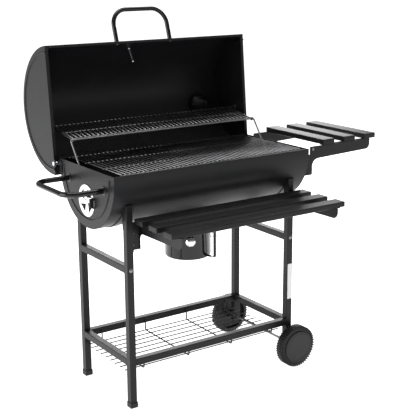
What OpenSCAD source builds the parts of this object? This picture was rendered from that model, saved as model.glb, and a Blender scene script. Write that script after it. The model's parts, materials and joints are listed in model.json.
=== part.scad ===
// Barrel charcoal grill on a two-wheeled cart, drawn with its lid open.
// +Z is up, the cook stands on the -Y side and the wheels are at the +X end.

/* [Cart] */
// Distance between the left and right leg centres
leg_span_x = 690; // [575:1:840]
// How far inside the barrel's radius the legs' centre lines stand
leg_inset = 29; // [22:0.5:45]
// Side of the square frame tube
tube = 25; // [20:0.5:30]
// Wall of the square frame tube
tube_wall = 1.5; // [1:0.1:2.5]
// Height of the upper side bars' centre line
upper_bar_z = 503; // [400:5:540]
// Height of the lower bars' centre line
lower_bar_z = 167; // [140:1:240]
// Height of a plastic foot cap
foot_h = 20; // [12:1:40]
// Number of long wires in the bottom shelf
shelf_wires = 9; // [5:1:15]

/* [Wheels] */
// Radius of a wheel
wheel_r = 80; // [65:1:96]
// Width of a wheel
wheel_w = 41; // [30:1:50]
// Distance from a leg's outer face to its wheel's outer face
wheel_standoff = 56.5; // [50:0.5:80]
// Diameter of the axle rod
axle_d = 10; // [8:1:12]

/* [Barrel] */
// Outer radius of the barrel
barrel_r = 197; // [180:0.5:240]
// How far the barrel stands past the leg centres at each end
barrel_overhang = 64.5; // [50:0.5:80]
// Height of the barrel's axis
barrel_z = 819.5; // [810:0.5:835]
// Height of the rim above the barrel's axis
rim_rise = 16; // [10:1:24]
// Thickness of the barrel and lid sheet
sheet = 1.5; // [1:0.1:2]
// Sideways offset of the barrel from the cart's middle
barrel_x = 3; // [0:1:8]
// Radius of the air vent disc
vent_r = 56; // [45:1:62]
// Reach of the side handle from the barrel's end
side_handle_reach = 138; // [100:1:160]

/* [Lid] */
// How much larger the lid's radius is than the barrel's
lid_margin = 31; // [25:1:45]
// Gap between the lid's end panels and the barrel's ends
lid_end_gap = 19.5; // [16:0.5:30]
// Angle that the lid stands open
lid_open = 95; // [60:1:100]
// Diameter of the chimney pipe
chimney_d = 80; // [60:1:90]
// Height of the chimney pipe above the lid
chimney_h = 110; // [60:1:160]
// Diameter of the lid handle's tube
lid_handle_d = 16.5; // [14:0.5:20]

/* [Shelves] */
// Depth of the front shelf from the legs' front face
front_reach = 236; // [180:1:260]
// Width of a front shelf slat
front_slat_w = 51; // [40:1:55]
// Height of the front shelf's top face
front_shelf_z = 683; // [670:1:690]
// Reach of the side shelf from the barrel's end
side_reach = 357; // [320:1:420]
// Width of a side shelf slat
side_slat_w = 57; // [40:1:64]
// How far inside the barrel's radius the side brackets stand
side_web_inset = 24; // [20:0.5:40]
// Thickness of the slats
slat_t = 19.5; // [15:0.5:22]

/* [Grates] */
// Length of the warming rack's legs
rack_leg = 145; // [120:1:150]
// Angle of the rack's legs with the lid open
rack_leg_angle = 54; // [50:1:60]
// Spacing of the grate and rack wires
wire_pitch = 17.5; // [15:0.5:30]

/* [Ash can] */
// Radius of the ash can
can_r = 87; // [75:1:95]
// Height of the ash can's floor
can_z = 454; // [420:1:500]

/* [Hidden] */
$fn = 96;

satin = "#34363a";
gloss = "#0e0e10";
black = "#19191b";
steel = "#c9cbce";
plastic = "#202124";

// Running and assembly clearances
fit = 0.08;
gap = 0.4;
skin = 0.15;

// Cart
leg_span_y = 2 * (barrel_r - leg_inset);
left_x = -leg_span_x / 2;
right_x = leg_span_x / 2;
front_y = -leg_span_y / 2;
rear_y = leg_span_y / 2;
wheel_face_y = rear_y + tube / 2 + wheel_standoff;
// Legs end just above the line where they meet the barrel
leg_top = barrel_z - 90;
leg_clear_z = 62;
axle_x = right_x + 4;
hub_r = wheel_r - 18;
hub_depth = 14;
rod_d = 5;
wire_d = 4;
bolt_d = 6;
head_d = 13;
head_t = 4;

// Barrel
barrel_len = leg_span_x + 2 * barrel_overhang;
barrel_x0 = barrel_x - barrel_len / 2;
barrel_x1 = barrel_x + barrel_len / 2;
barrel_in = barrel_r - sheet;
rim_z = barrel_z + rim_rise;
vent_z = barrel_z - 100;
vent_hole_r0 = 12;
vent_hole_r1 = vent_r - 11;
rivet_d = 8;
handle_d = 19;
handle_span = 248;
handle_z = barrel_z - 42;
collar_r = can_r - 4;

// Lid, drawn closed and then turned open about its hinge pins
lid_r = barrel_r + lid_margin;
pivot_y = barrel_r + 8;
pivot_z = rim_z - 19.5;
pin_d = 8;
lid_x0 = barrel_x0 - lid_end_gap;
lid_x1 = barrel_x1 + lid_end_gap;
lid_front_gap = 11.4;
lid_axis_drop = 6;
lid_z = pivot_z - lid_axis_drop;
lid_half = sqrt(lid_r * lid_r - lid_axis_drop * lid_axis_drop);
lid_y = lid_half - barrel_r - lid_front_gap;
hem = 8;
end_flange = 12;
rear_hem = 28;
handle_angle = 167;
gauge_angle = 152;
chimney_angle = 78;
gauge_x = -34;
lid_handle_span = 231;
lid_handle_h = 124;
chimney_x = barrel_x + 337;
chimney_y = lid_y + lid_r * cos(chimney_angle);
chimney_foot_z = lid_z + lid_r * sin(chimney_angle);
chimney_top = chimney_foot_z + chimney_h;
cap_h = 12;

// Warming rack, a parallelogram linkage between barrel and lid
rack_foot_y = 42;
rack_foot_z = rim_z - 45;
rack_wire = 6;
leg_dy = rack_leg * cos(rack_leg_angle);
leg_dz = rack_leg * sin(rack_leg_angle);
rack_front_y = rack_foot_y + leg_dy;
rack_front_z = rack_foot_z + leg_dz;
rack_dy = pivot_y - rack_foot_y;
rack_dz = pivot_z - rack_foot_z;
rack_len = sqrt(rack_dy * rack_dy + rack_dz * rack_dz);
rack_slope = atan2(rack_dz, rack_dy);
hanger_r = 9;
hanger_t = 5;

// Grates
grate_z = rim_z + 1;
grate_half = sqrt(barrel_in * barrel_in - rim_rise * rim_rise) - 7;
grate_x0 = barrel_x0 + 30;
grate_x1 = barrel_x1 - 30;
coal_z = barrel_z - 118;
coal_half = sqrt(barrel_in * barrel_in - 118 * 118) - 9;

// Shelves
front_edge_y = front_y - tube / 2 - front_reach;
front_gap = (front_reach - 3 * front_slat_w - 2) / 2;
front_slat_x0 = left_x + 16;
front_slat_x1 = right_x + 54;
side_x1 = barrel_x1 + side_reach;
side_pitch = (side_reach - 90 - side_slat_w) / 2;
side_top_z = barrel_z + 37.5;
plate = 2;
side_web_y = barrel_r - side_web_inset;
side_slat_len = 2 * (side_web_y + plate);
flange_z = barrel_z - 57;

// Ash can
can_top = barrel_z - barrel_r - 12;
can_knob_angle = -117;
can_knob_z = can_z + 74;
can_handle_angle = -68;

// Footprint of the whole grill with the lid open, which centres its origin
x_min = barrel_x0 - side_handle_reach - handle_d / 2;
x_max = side_x1;
y_min = front_edge_y - 8;
y_max = pivot_y + (chimney_y - pivot_y) * cos(lid_open) + (chimney_top + cap_h - pivot_z) * sin(lid_open)
    + (chimney_d / 2 + 4) * abs(cos(lid_open));

// ---------- placing and shared shapes ----------

module placed() {
    translate([-(x_min + x_max) / 2, -(y_min + y_max) / 2, 0]) children();
}

// Turns what is drawn on the closed lid to the open position
module opened() {
    placed() translate([0, pivot_y, pivot_z]) rotate([-lid_open, 0, 0])
        translate([0, -pivot_y, -pivot_z]) children();
}

// Extrudes a (Y, Z) outline along X
module along_x(x0, x1) {
    translate([x0, 0, 0]) rotate([90, 0, 90]) linear_extrude(x1 - x0) children();
}

// Extrudes an (X, Z) outline along Y
module along_y(y0, y1) {
    translate([0, y1, 0]) rotate([90, 0, 0]) linear_extrude(y1 - y0) children();
}

module rod_x(x0, x1, y, z, d, fn = 48) {
    translate([x0, y, z]) rotate([0, 90, 0]) cylinder(h = x1 - x0, d = d, $fn = fn);
}

module rod_y(y0, y1, x, z, d, fn = 48) {
    translate([x, y0, z]) rotate([-90, 0, 0]) cylinder(h = y1 - y0, d = d, $fn = fn);
}

module rod_z(z0, z1, x, y, d, fn = 48) {
    translate([x, y, z0]) cylinder(h = z1 - z0, d = d, $fn = fn);
}

// Square tube along Z, X or Y, centred on its own axis
module tube_z(z0, z1, x, y) {
    translate([x, y, z0]) linear_extrude(z1 - z0) tube_section();
}

module tube_section() {
    difference() {
        square(tube, center = true);
        square(tube - 2 * tube_wall, center = true);
    }
}

module tube_x(x0, x1, y, z) {
    along_x(x0, x1) translate([y, z]) tube_section();
}

module tube_y(y0, y1, x, z) {
    along_y(y0, y1) translate([x, z]) tube_section();
}

// A bent round bar: two feet at y = 0, arms along +Y and a cross run
module u_bar(span, reach, corner, d) {
    half = span / 2;
    for (side = [-1, 1]) {
        rod_y(0, reach - corner, side * half, 0, d);
        translate([side * (half - corner), reach - corner, 0]) mirror([side > 0 ? 0 : 1, 0, 0])
            rotate_extrude(angle = 90) translate([corner, 0]) circle(d = d, $fn = 48);
    }
    rod_x(corner - half, half - corner, reach, 0, d);
}

// A half ring in (Y, Z) below a level
module arc_band(r, t, level) {
    intersection() {
        difference() {
            circle(r);
            circle(r - t);
        }
        translate([-2 * r, -2 * r]) square([4 * r, 2 * r + level]);
    }
}

// Four leaning triangular air holes in (Y, Z)
module vent_holes(r0, r1) {
    for (turn = [15:90:285]) rotate(turn)
        polygon([[r0, 0], [r1, 0], [r1 * cos(52), r1 * sin(52)]]);
}

// ---------- cart ----------

// A leg whose top is cut to the barrel
module leg(x, y, foot_z) {
    color(satin) placed() difference() {
        tube_z(foot_z, leg_top, x, y);
        rod_x(x - tube, x + tube, 0, barrel_z, 2 * (barrel_r + skin), 96);
        rod_y(y - tube, y + tube, x, upper_bar_z, bolt_d);
        if (x > 0) rod_y(y - tube, y + tube, axle_x, wheel_r, axle_d);
    }
}

module leg_front_left() { leg(left_x, front_y, foot_h * 0.2); }

module leg_rear_left() { leg(left_x, rear_y, foot_h * 0.2); }

module leg_front_right() { leg(right_x, front_y, leg_clear_z); }

module leg_rear_right() { leg(right_x, rear_y, leg_clear_z); }

// Feet under the left legs and plugs in the right legs
module tube_caps() {
    color(plastic) placed() {
        for (y = [front_y, rear_y]) {
            translate([left_x, y, 0]) difference() {
                linear_extrude(foot_h) square(tube + 4, center = true);
                translate([0, 0, foot_h * 0.2]) linear_extrude(foot_h) square(tube, center = true);
            }
            translate([right_x, y, leg_clear_z - 3]) linear_extrude(3) square(tube, center = true);
        }
    }
}

module side_bar(x, z) {
    color(satin) placed() tube_y(front_y + tube / 2, rear_y - tube / 2, x, z);
}

module side_bar_upper_left() { side_bar(left_x, upper_bar_z); }

module side_bar_upper_right() { side_bar(right_x, upper_bar_z); }

module side_bar_lower_left() { side_bar(left_x, lower_bar_z); }

module side_bar_lower_right() { side_bar(right_x, lower_bar_z); }

module long_bar(y) {
    color(satin) placed() tube_x(left_x + tube / 2, right_x - tube / 2, y, lower_bar_z);
}

module long_bar_front() { long_bar(front_y); }

module long_bar_rear() { long_bar(rear_y); }

// Wires that hang between the long bars
module wire_shelf() {
    bed_z = lower_bar_z - 40;
    hook_y = rear_y - tube / 2 - rod_d / 2;
    wire_y = hook_y - 12;
    long_x0 = left_x - tube / 2;
    long_x1 = right_x - tube / 2 - 9.5;
    color(steel) placed() {
        for (share = [0.085, 0.36, 0.635, 0.91]) {
            x = left_x + share * leg_span_x;
            rod_y(-hook_y, hook_y, x, bed_z, rod_d, 8);
            for (side = [-1, 1]) rod_z(bed_z, lower_bar_z, x, side * hook_y, rod_d, 8);
        }
        for (i = [0:shelf_wires - 1]) {
            y = wire_y * (2 * i / (shelf_wires - 1) - 1);
            rod_x(long_x0, long_x1, y, bed_z + rod_d / 2 + wire_d / 2 - 0.5, wire_d, 8);
        }
    }
}

module axle() {
    nut_y = wheel_face_y - hub_depth + gap;
    end_y = nut_y + 3;
    color(steel) placed() {
        rod_y(-end_y, end_y, axle_x, wheel_r, axle_d);
        for (side = [-1, 1]) {
            // Shoulder rings that keep the wheels off the legs
            inner = rear_y + tube / 2;
            outer = wheel_face_y - wheel_w - gap;
            y0 = side > 0 ? inner : -outer;
            difference() {
                rod_y(y0, y0 + outer - inner, axle_x, wheel_r, axle_d + 8);
                rod_y(y0 - 1, y0 + outer - inner + 1, axle_x, wheel_r, axle_d - 1);
            }
            // Push nuts on the ends
            rod_y(side > 0 ? nut_y : -end_y, side > 0 ? end_y : -nut_y, axle_x, wheel_r, axle_d + 12);
        }
    }
}

// Bolts through the frame, the brackets and the handle feet
module cart_bolts() {
    web_x = right_x + tube / 2 + plate;
    color(steel) placed() {
        for (x = [left_x, right_x], side = [-1, 1]) {
            face = rear_y + tube / 2;
            mirror([0, side > 0 ? 0 : 1, 0]) {
                rod_y(face, face + head_t, x, upper_bar_z, head_d);
                rod_y(face - tube, face, x, upper_bar_z, bolt_d);
            }
        }
        for (z = [front_shelf_z - 53, front_shelf_z - 95]) {
            rod_x(left_x + tube / 2 + plate, left_x + tube / 2 + plate + head_t, front_y - 4, z, 11);
            rod_x(web_x, web_x + head_t, front_y + 2, z, 11);
        }
        for (side = [-1, 1]) {
            rod_x(barrel_x1 + sheet + plate, barrel_x1 + sheet + plate + head_t,
                side * (side_web_y + plate + 4.6), flange_z, 9);
            mirror([0, side > 0 ? 0 : 1, 0])
                rod_y(side_web_y + plate, side_web_y + plate + head_t, barrel_x1 + 40,
                    side_top_z - slat_t - 11, 11);
        }
    }
}

module leg_label() {
    label_w = tube - 5;
    color("white") placed() translate([right_x - label_w / 2, front_y - tube / 2 - 0.4, 260])
        cube([label_w, 0.4, 139]);
}

// ---------- barrel ----------

module barrel_shell() {
    color(satin) placed() difference() {
        union() {
            along_x(barrel_x0, barrel_x1) translate([0, barrel_z]) arc_band(barrel_r, sheet, rim_rise);
            // Folded hem along both long rims
            for (side = [-1, 1]) along_x(barrel_x0, barrel_x1) {
                edge = side * sqrt(barrel_in * barrel_in - rim_rise * rim_rise);
                translate([side > 0 ? edge - 4 : edge, rim_z - sheet]) square([4, sheet]);
            }
        }
        rod_z(barrel_z - barrel_r - 10, barrel_z - 90, barrel_x, 0, 2 * collar_r - 6, 96);
    }
}

// Outline of a barrel end in (Y, Z)
module end_outline(r) {
    intersection() {
        circle(r);
        translate([-2 * r, -2 * r]) square([4 * r, 2 * r + rim_rise]);
    }
}

// An end panel with a pressed ring, drawn for the -X end
module barrel_end(vented) {
    ring_r = barrel_r - 32;
    color(satin) placed() translate([vented ? barrel_x0 : barrel_x1, 0, barrel_z]) mirror([vented ? 0 : 1, 0, 0])
        difference() {
            union() {
                along_x(-sheet, 0) end_outline(barrel_r);
                // Seam ring inside the shell
                along_x(0, 8) arc_band(barrel_in - skin, sheet, rim_rise - sheet - skin);
                rotate([90, 0, 0]) rotate([0, 90, 0]) translate([0, 0, -sheet])
                    rotate([0, 0, 180]) rotate_extrude(angle = 180) translate([ring_r, 0])
                    circle(r = 3, $fn = 32);
                // Bosses for the rack's feet
                rod_x(0, hanger_t, rack_foot_y, rack_foot_z - barrel_z, 2 * hanger_r);
            }
            rod_x(-2 * sheet, 2 * hanger_t, rack_foot_y, rack_foot_z - barrel_z, rack_wire + 2 * fit);
            if (vented) along_x(-2 * sheet, sheet) translate([0, vent_z - barrel_z]) {
                vent_holes(vent_hole_r0, vent_hole_r1);
                circle(d = rivet_d);
            }
        }
}

module barrel_end_left() { barrel_end(true); }

module barrel_end_right() { barrel_end(false); }

// A strap under the barrel between the front and rear legs
module cradle_strap(x) {
    strap_w = tube;
    strap_t = 2.5;
    inner_y = rear_y - tube / 2;
    color(satin) placed() along_x(x - strap_w / 2, x + strap_w / 2) intersection() {
        union() {
            translate([0, barrel_z]) difference() {
                circle(barrel_r + strap_t);
                circle(barrel_r + skin);
            }
            for (side = [-1, 1]) difference() {
                translate([side > 0 ? inner_y - strap_t : -inner_y, barrel_z - barrel_r + 20])
                    square([strap_t, 80]);
                translate([0, barrel_z]) circle(barrel_r + strap_t / 2);
            }
        }
        translate([-inner_y, 0]) square([2 * inner_y, barrel_z - 60]);
    }
}

module cradle_strap_left() { cradle_strap(left_x); }

module cradle_strap_right() { cradle_strap(right_x); }

// Draws its children at the -X end and mirrored at the +X end
module both_ends() {
    translate([barrel_x, 0, 0]) for (flip = [0, 1]) mirror([flip, 0, 0]) children();
}

// Hinge plates on the barrel's ends, each with a stop that the open lid leans on
module hinge_plates() {
    end_x = -barrel_len / 2 - sheet;
    thick = 3;
    stop_z = pivot_z - 31;
    stop_y = pivot_y - 36 * tan(lid_open - 90) - gap;
    color(satin) placed() both_ends() difference() {
        union() {
            along_x(end_x - thick, end_x) {
                polygon([[pivot_y - 27, pivot_z - 26], [pivot_y - 8, pivot_z - 36], [stop_y, stop_z - 5],
                    [stop_y, pivot_z - 12], [pivot_y, pivot_z + 12], [pivot_y - 27, pivot_z + 12]]);
                translate([pivot_y, pivot_z]) circle(12);
            }
            along_x(end_x - lid_end_gap, end_x) translate([stop_y - 4, stop_z - 4]) square([4, 8]);
        }
        rod_x(end_x - 2 * thick, end_x + 1, pivot_y, pivot_z, pin_d);
    }
}

// Shouldered pins that the lid turns on
module hinge_pins() {
    end_x = -barrel_len / 2 - sheet;
    lid_in = -barrel_len / 2 - lid_end_gap + sheet;
    color(steel) placed() both_ends() {
        rod_x(lid_in - sheet - gap - head_t, end_x, pivot_y, pivot_z, pin_d);
        rod_x(lid_in + gap, end_x - 3, pivot_y, pivot_z, pin_d + 6);
        rod_x(lid_in - sheet - gap - head_t, lid_in - sheet - gap, pivot_y, pivot_z, pin_d + 7);
    }
}

module side_handle() {
    color(gloss) placed() translate([barrel_x0 - sheet, 0, handle_z]) rotate([0, 0, 90])
        u_bar(handle_span, side_handle_reach - sheet, 49, handle_d);
}

// Rivet that the vent disc turns on
module vent_rivet() {
    x = barrel_x0 - sheet;
    color(steel) placed() {
        rod_x(x - 3, x + sheet, 0, vent_z, rivet_d);
        rod_x(x - 5, x - 2.4, 0, vent_z, 13);
        rod_x(x + sheet, x + sheet + 2, 0, vent_z, 13);
    }
}

// Wires along Y on rods along X, all welded
module wire_mat(x0, x1, half, z, pitch, rod_ys) {
    steps = floor((x1 - x0) / pitch);
    start = (x0 + x1) / 2 - steps * pitch / 2;
    for (i = [0:steps]) rod_y(-half, half, start + i * pitch, z + wire_d / 2 - 1, wire_d, 8);
    for (y = rod_ys) rod_x(x0, x1, y, z - rod_d / 2, rod_d, 8);
}

module charcoal_grate() {
    color(black) placed()
        wire_mat(grate_x0, grate_x1, coal_half, coal_z, 2 * wire_pitch, [-coal_half + 8, 0, coal_half - 8]);
}

// Cross bars under the charcoal and lugs under the cooking grate
module grate_supports() {
    bar_drop = rod_d + 12;
    color(black) placed() {
        for (x = [barrel_x - barrel_len * 0.3, barrel_x + barrel_len * 0.3])
            along_x(x - 10, x + 10) intersection() {
                translate([0, barrel_z]) circle(barrel_in - skin);
                translate([-barrel_r, coal_z - bar_drop]) square([2 * barrel_r, 12]);
            }
        for (share = [-0.36, 0, 0.36]) along_x(barrel_x + share * barrel_len - 12, barrel_x + share * barrel_len + 12)
            difference() {
                intersection() {
                    translate([0, barrel_z]) circle(barrel_in - skin);
                    translate([-barrel_r, grate_z - rod_d - 4]) square([2 * barrel_r, 4]);
                }
                translate([-grate_half + 8, 0]) square([2 * grate_half - 16, rim_z + 50]);
            }
    }
}

// Short spout that the ash falls through
module ash_collar() {
    color(satin) placed() difference() {
        rod_z(can_top - 14, barrel_z - barrel_r + 30, barrel_x, 0, 2 * collar_r, 96);
        rod_z(can_top - 20, barrel_z, barrel_x, 0, 2 * collar_r - 4, 96);
        rod_x(barrel_x - can_r, barrel_x + can_r, 0, barrel_z, 2 * (barrel_r + skin), 96);
    }
}

// ---------- shelves ----------

module front_slat(index) {
    y0 = front_edge_y + index * (front_slat_w + front_gap);
    color(black) placed() translate([front_slat_x0, y0, front_shelf_z - slat_t])
        cube([front_slat_x1 - front_slat_x0, front_slat_w, slat_t]);
}

module front_slat_outer() { front_slat(0); }

module front_slat_middle() { front_slat(1); }

module front_slat_inner() { front_slat(2); }

// Outline of a front bracket's web in (Y, Z)
module front_web(tab_y0, tab_y1) {
    top = front_shelf_z - slat_t;
    nose = 25;
    fillet = 20;
    nose_y = y_min + nose;
    difference() {
        union() {
            translate([nose_y, top - 14]) circle(nose);
            polygon([[nose_y, top - 14 - nose], [tab_y0, top - 42], [tab_y0, top - 98],
                [tab_y1, top - 98], [tab_y1, top], [y_min, top], [y_min, top - 14]]);
            translate([tab_y0 - fillet, top - 42 - fillet]) square(fillet);
        }
        translate([y_min - nose, top]) square([3 * nose, 2 * nose]);
        translate([tab_y0 - fillet, top - 42 - fillet]) circle(fillet);
    }
}

// Left bracket: a flange on the leg, a back plate and a web
module front_bracket_left() {
    top = front_shelf_z - slat_t;
    leg_face = left_x + tube / 2;
    back_y = front_y + tube / 2 - 2;
    color(satin) placed() {
        along_x(leg_face + 36.5, leg_face + 36.5 + plate) front_web(back_y - 5, back_y);
        translate([leg_face, back_y, top - 98]) cube([36.5 + plate, plate, 98]);
        translate([leg_face, front_y - tube / 2 + 1, top - 98]) cube([plate, tube - 3, 98]);
        translate([leg_face + 36.5, front_edge_y, top - plate]) cube([20, front_reach - 4, plate]);
    }
}

// Right bracket: a web on the leg's outer face
module front_bracket_right() {
    top = front_shelf_z - slat_t;
    leg_face = right_x + tube / 2;
    color(satin) placed() {
        along_x(leg_face, leg_face + plate) front_web(front_y - 8, front_y + tube / 2 - 3);
        translate([leg_face, front_edge_y, top - plate]) cube([20, front_reach - 4, plate]);
    }
}

module side_slat(index) {
    x0 = side_x1 - side_slat_w - index * side_pitch;
    color(black) placed() translate([x0, -side_slat_len / 2, side_top_z - slat_t])
        cube([side_slat_w, side_slat_len, slat_t]);
}

module side_slat_outer() { side_slat(0); }

module side_slat_middle() { side_slat(1); }

module side_slat_inner() { side_slat(2); }

// Side bracket, drawn for the -Y side and mirrored for the other
module side_bracket(flip) {
    top = side_top_z - slat_t;
    nose = 20;
    fillet = 26;
    tip_x = side_x1 - 29;
    tab_x = barrel_x1 + 38;
    notch_x = lid_x1 + 6;
    ledge_x = barrel_x1 + 90;
    face_x = barrel_x1 + sheet;
    low = top - 2 * nose;
    root_low = top - 49;
    color(satin) placed() mirror([0, flip, 0]) {
        along_y(-side_web_y - plate, -side_web_y) difference() {
            union() {
                polygon([[face_x, top - 108], [tab_x, top - 108], [tab_x, root_low],
                    [tip_x - nose, low], [tip_x, top - nose], [tip_x, top], [notch_x, top],
                    [notch_x, pivot_z - 8], [face_x, pivot_z - 8]]);
                translate([tip_x - nose, low + nose]) circle(nose);
                translate([tab_x, root_low - fillet]) square([fillet, fillet + 4]);
            }
            translate([tab_x + fillet, root_low - fillet]) circle(fillet);
        }
        // Flange on the barrel's end and ledge under the slats
        translate([face_x, -side_web_y - 11, flange_z - 14]) cube([plate, 11, 28]);
        translate([ledge_x, -side_web_y, top - plate]) cube([tip_x - ledge_x, 18, plate]);
    }
}

module side_bracket_front() { side_bracket(0); }

module side_bracket_rear() { side_bracket(1); }

// ---------- lid, drawn closed ----------

// Places children drawn round +Z onto the lid's skin at an angle from +Y
module on_lid(x, angle) {
    translate([x, lid_y, lid_z]) rotate([angle - 90, 0, 0]) translate([0, 0, lid_r]) children();
}

module lid_outline(r) {
    intersection() {
        translate([lid_y, lid_z]) circle(r);
        translate([lid_y - 2 * r, pivot_z]) square([4 * r, 2 * r]);
    }
}

module lid_shell() {
    color(satin) opened() difference() {
        union() {
            along_x(lid_x0, lid_x1) difference() {
                lid_outline(lid_r);
                translate([lid_y, lid_z]) circle(lid_r - sheet);
            }
            // Hems turned in along the front and rear edges
            along_x(lid_x0 + end_flange + skin, lid_x1 - end_flange - skin) {
                translate([lid_y - lid_half + 1, pivot_z]) square([hem, sheet]);
                translate([lid_y + lid_half - rear_hem - 1, pivot_z]) square([rear_hem, sheet]);
            }
        }
        rod_z(chimney_foot_z - 30, chimney_foot_z + 30, chimney_x, chimney_y, chimney_d + 0.6, 96);
        on_lid(gauge_x, gauge_angle) translate([0, 0, -10]) cylinder(h = 20, d = 10);
    }
}

// An end panel with a pressed ring, a folded edge and a hinge ear, drawn for the -X end
module lid_end(flip) {
    ring_r = lid_r - 22;
    color(satin) opened() translate([barrel_x, 0, 0]) mirror([flip, 0, 0]) difference() {
        x = -barrel_len / 2 - lid_end_gap;
        union() {
            along_x(x, x + sheet) lid_outline(lid_r - sheet - skin);
            along_x(x, x + sheet) translate([pivot_y, pivot_z]) circle(13);
            along_x(x + sheet, x + 9) difference() {
                lid_outline(lid_r - sheet - skin);
                translate([lid_y, lid_z]) circle(lid_r - 2 * sheet);
            }
            // Folded flange along the panel's straight edge
            along_x(x + sheet, x + end_flange) translate([lid_y - lid_half + 2 * sheet, pivot_z])
                square([pivot_y - 28 - lid_y + lid_half - 2 * sheet, sheet]);
            translate([x, lid_y, pivot_z]) rotate([90, 0, 0]) rotate([0, 90, 0])
                rotate_extrude(angle = 180) translate([ring_r, 0]) circle(r = 3, $fn = 32);
        }
        rod_x(x - 1, x + 2 * sheet, pivot_y, pivot_z, pin_d + 2 * fit);
    }
}

module lid_end_left() { lid_end(0); }

module lid_end_right() { lid_end(1); }

module lid_handle() {
    color(gloss) opened() on_lid(barrel_x, handle_angle) rotate([90, 0, 0])
        u_bar(lid_handle_span, lid_handle_h, 60, lid_handle_d);
}

// Nuts inside the lid under the handle's feet
module lid_bolts() {
    color(steel) opened() for (side = [-1, 1]) {
        on_lid(barrel_x + side * lid_handle_span / 2, handle_angle)
            translate([0, 0, -sheet - head_t - 0.2]) cylinder(h = head_t, d = head_d);
    }
}

// Gauge body outside the lid and its probe inside
module thermometer_case() {
    color(steel) opened() on_lid(gauge_x, gauge_angle) {
        difference() {
            translate([0, 0, 0.6]) cylinder(h = 14, d = 58);
            translate([0, 0, 4]) cylinder(h = 20, d = 54);
        }
        translate([0, 0, -62]) cylinder(h = 64, d = 8);
        translate([0, 0, -sheet - 5]) cylinder(h = 4, d = 16);
    }
}

// Face plate with its pointer
module thermometer_dial() {
    color("white") opened() on_lid(gauge_x, gauge_angle) {
        translate([0, 0, 4]) cylinder(h = 1, d = 53.9);
        translate([0, 0, 4.5]) cylinder(h = 3, d = 5);
        rotate([0, 0, 35]) translate([-1, -5, 6]) cube([2, 26, 0.8]);
    }
}

module thermometer_glass() {
    color("lightblue", 0.4) opened() on_lid(gauge_x, gauge_angle)
        translate([0, 0, 10.5]) cylinder(h = 2, d = 53.9);
}

// Pipe with a saddle flange and a pierced top plate
module chimney_pipe() {
    color(satin) opened() {
        difference() {
            rod_z(chimney_foot_z - 18, chimney_top, chimney_x, chimney_y, chimney_d, 96);
            rod_z(chimney_foot_z - 20, chimney_top - 2, chimney_x, chimney_y, chimney_d - 2 * sheet, 96);
            translate([chimney_x, chimney_y, chimney_top - 5]) linear_extrude(10)
                vent_holes(8, chimney_d / 2 - 6);
        }
        rod_z(chimney_top - 1, chimney_top + cap_h - 5, chimney_x, chimney_y, 6);
        difference() {
            intersection() {
                rod_z(lid_z, lid_z + lid_r + 20, chimney_x, chimney_y, chimney_d + 26, 96);
                rod_x(chimney_x - chimney_d, chimney_x + chimney_d, lid_y, lid_z, 2 * lid_r + 4, 96);
            }
            rod_x(chimney_x - chimney_d - 1, chimney_x + chimney_d + 1, lid_y, lid_z, 2 * lid_r, 96);
            rod_z(lid_z - 1, lid_z + lid_r + 30, chimney_x, chimney_y, chimney_d - 1, 96);
        }
    }
}

// Bosses inside the lid's ends that hold the rack's rear pins
module rack_hangers() {
    x = -barrel_len / 2 - lid_end_gap + sheet;
    y = pivot_y + rack_leg * cos(rack_leg_angle + lid_open);
    z = pivot_z + rack_leg * sin(rack_leg_angle + lid_open);
    color(steel) opened() both_ends() difference() {
        rod_x(x, x + hanger_t, y, z, 2 * hanger_r);
        rod_x(x + 1, x + 2 * hanger_t, y, z, rack_wire + 0.6);
    }
}

// Turning top of the chimney
module chimney_cap() {
    top = chimney_top + cap_h;
    color(satin) opened() difference() {
        rod_z(chimney_top - 8, top, chimney_x, chimney_y, chimney_d + 8, 96);
        rod_z(chimney_top - 9, chimney_top + gap, chimney_x, chimney_y, chimney_d + 5, 96);
        rod_z(chimney_top, top - 2, chimney_x, chimney_y, chimney_d - 8, 96);
        rod_z(chimney_top, chimney_top + cap_h - 4, chimney_x, chimney_y, 6 + 2 * fit);
        translate([chimney_x, chimney_y, chimney_top - 5]) linear_extrude(40)
            vent_holes(10, chimney_d / 2 - 6);
    }
}

// ---------- vent, wheels ----------

// Pierced disc with a finger tab near its front edge
module vent_damper() {
    x = barrel_x0 - sheet - gap;
    color(steel) placed() difference() {
        union() {
            along_x(x - sheet, x) translate([0, vent_z]) circle(vent_r);
            translate([x - 16, -vent_r + 2, vent_z - 16]) cube([16, 7, 34]);
        }
        along_x(x - 2 * sheet, x + sheet) translate([0, vent_z]) vent_holes(vent_hole_r0, vent_hole_r1);
        rod_x(x - 5, x + 5, 0, vent_z, rivet_d + 2 * fit);
    }
}

// Ribbed tyre and hub in one moulding, drawn for the +Y side
module wheel(flip) {
    y0 = wheel_face_y - wheel_w;
    color(plastic) placed() mirror([0, flip, 0]) difference() {
        rod_y(y0, wheel_face_y - 2, axle_x, wheel_r, 2 * wheel_r, 96);
        rod_y(y0 - 1, wheel_face_y, axle_x, wheel_r, axle_d + 2 * fit);
        rod_y(wheel_face_y - hub_depth, wheel_face_y, axle_x, wheel_r, 2 * hub_r, 96);
        rod_y(y0 - 1, y0 + 14, axle_x, wheel_r, 2 * hub_r, 96);
    }
    color(plastic) placed() mirror([0, flip, 0]) difference() {
        rod_y(y0, y0 + 16, axle_x, wheel_r, 34);
        rod_y(y0 - 1, y0 + 17, axle_x, wheel_r, axle_d + 2 * fit);
    }
}

module wheel_front() { wheel(1); }

module wheel_rear() { wheel(0); }

// Cap over the hub and the axle's end
module wheel_cap(flip) {
    color("#3a3b3d") placed() mirror([0, flip, 0]) difference() {
        rod_y(wheel_face_y - 6, wheel_face_y, axle_x, wheel_r, 2 * hub_r, 96);
        rod_y(wheel_face_y - 7, wheel_face_y - 3, axle_x, wheel_r, 2 * hub_r - 12, 96);
    }
}

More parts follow.
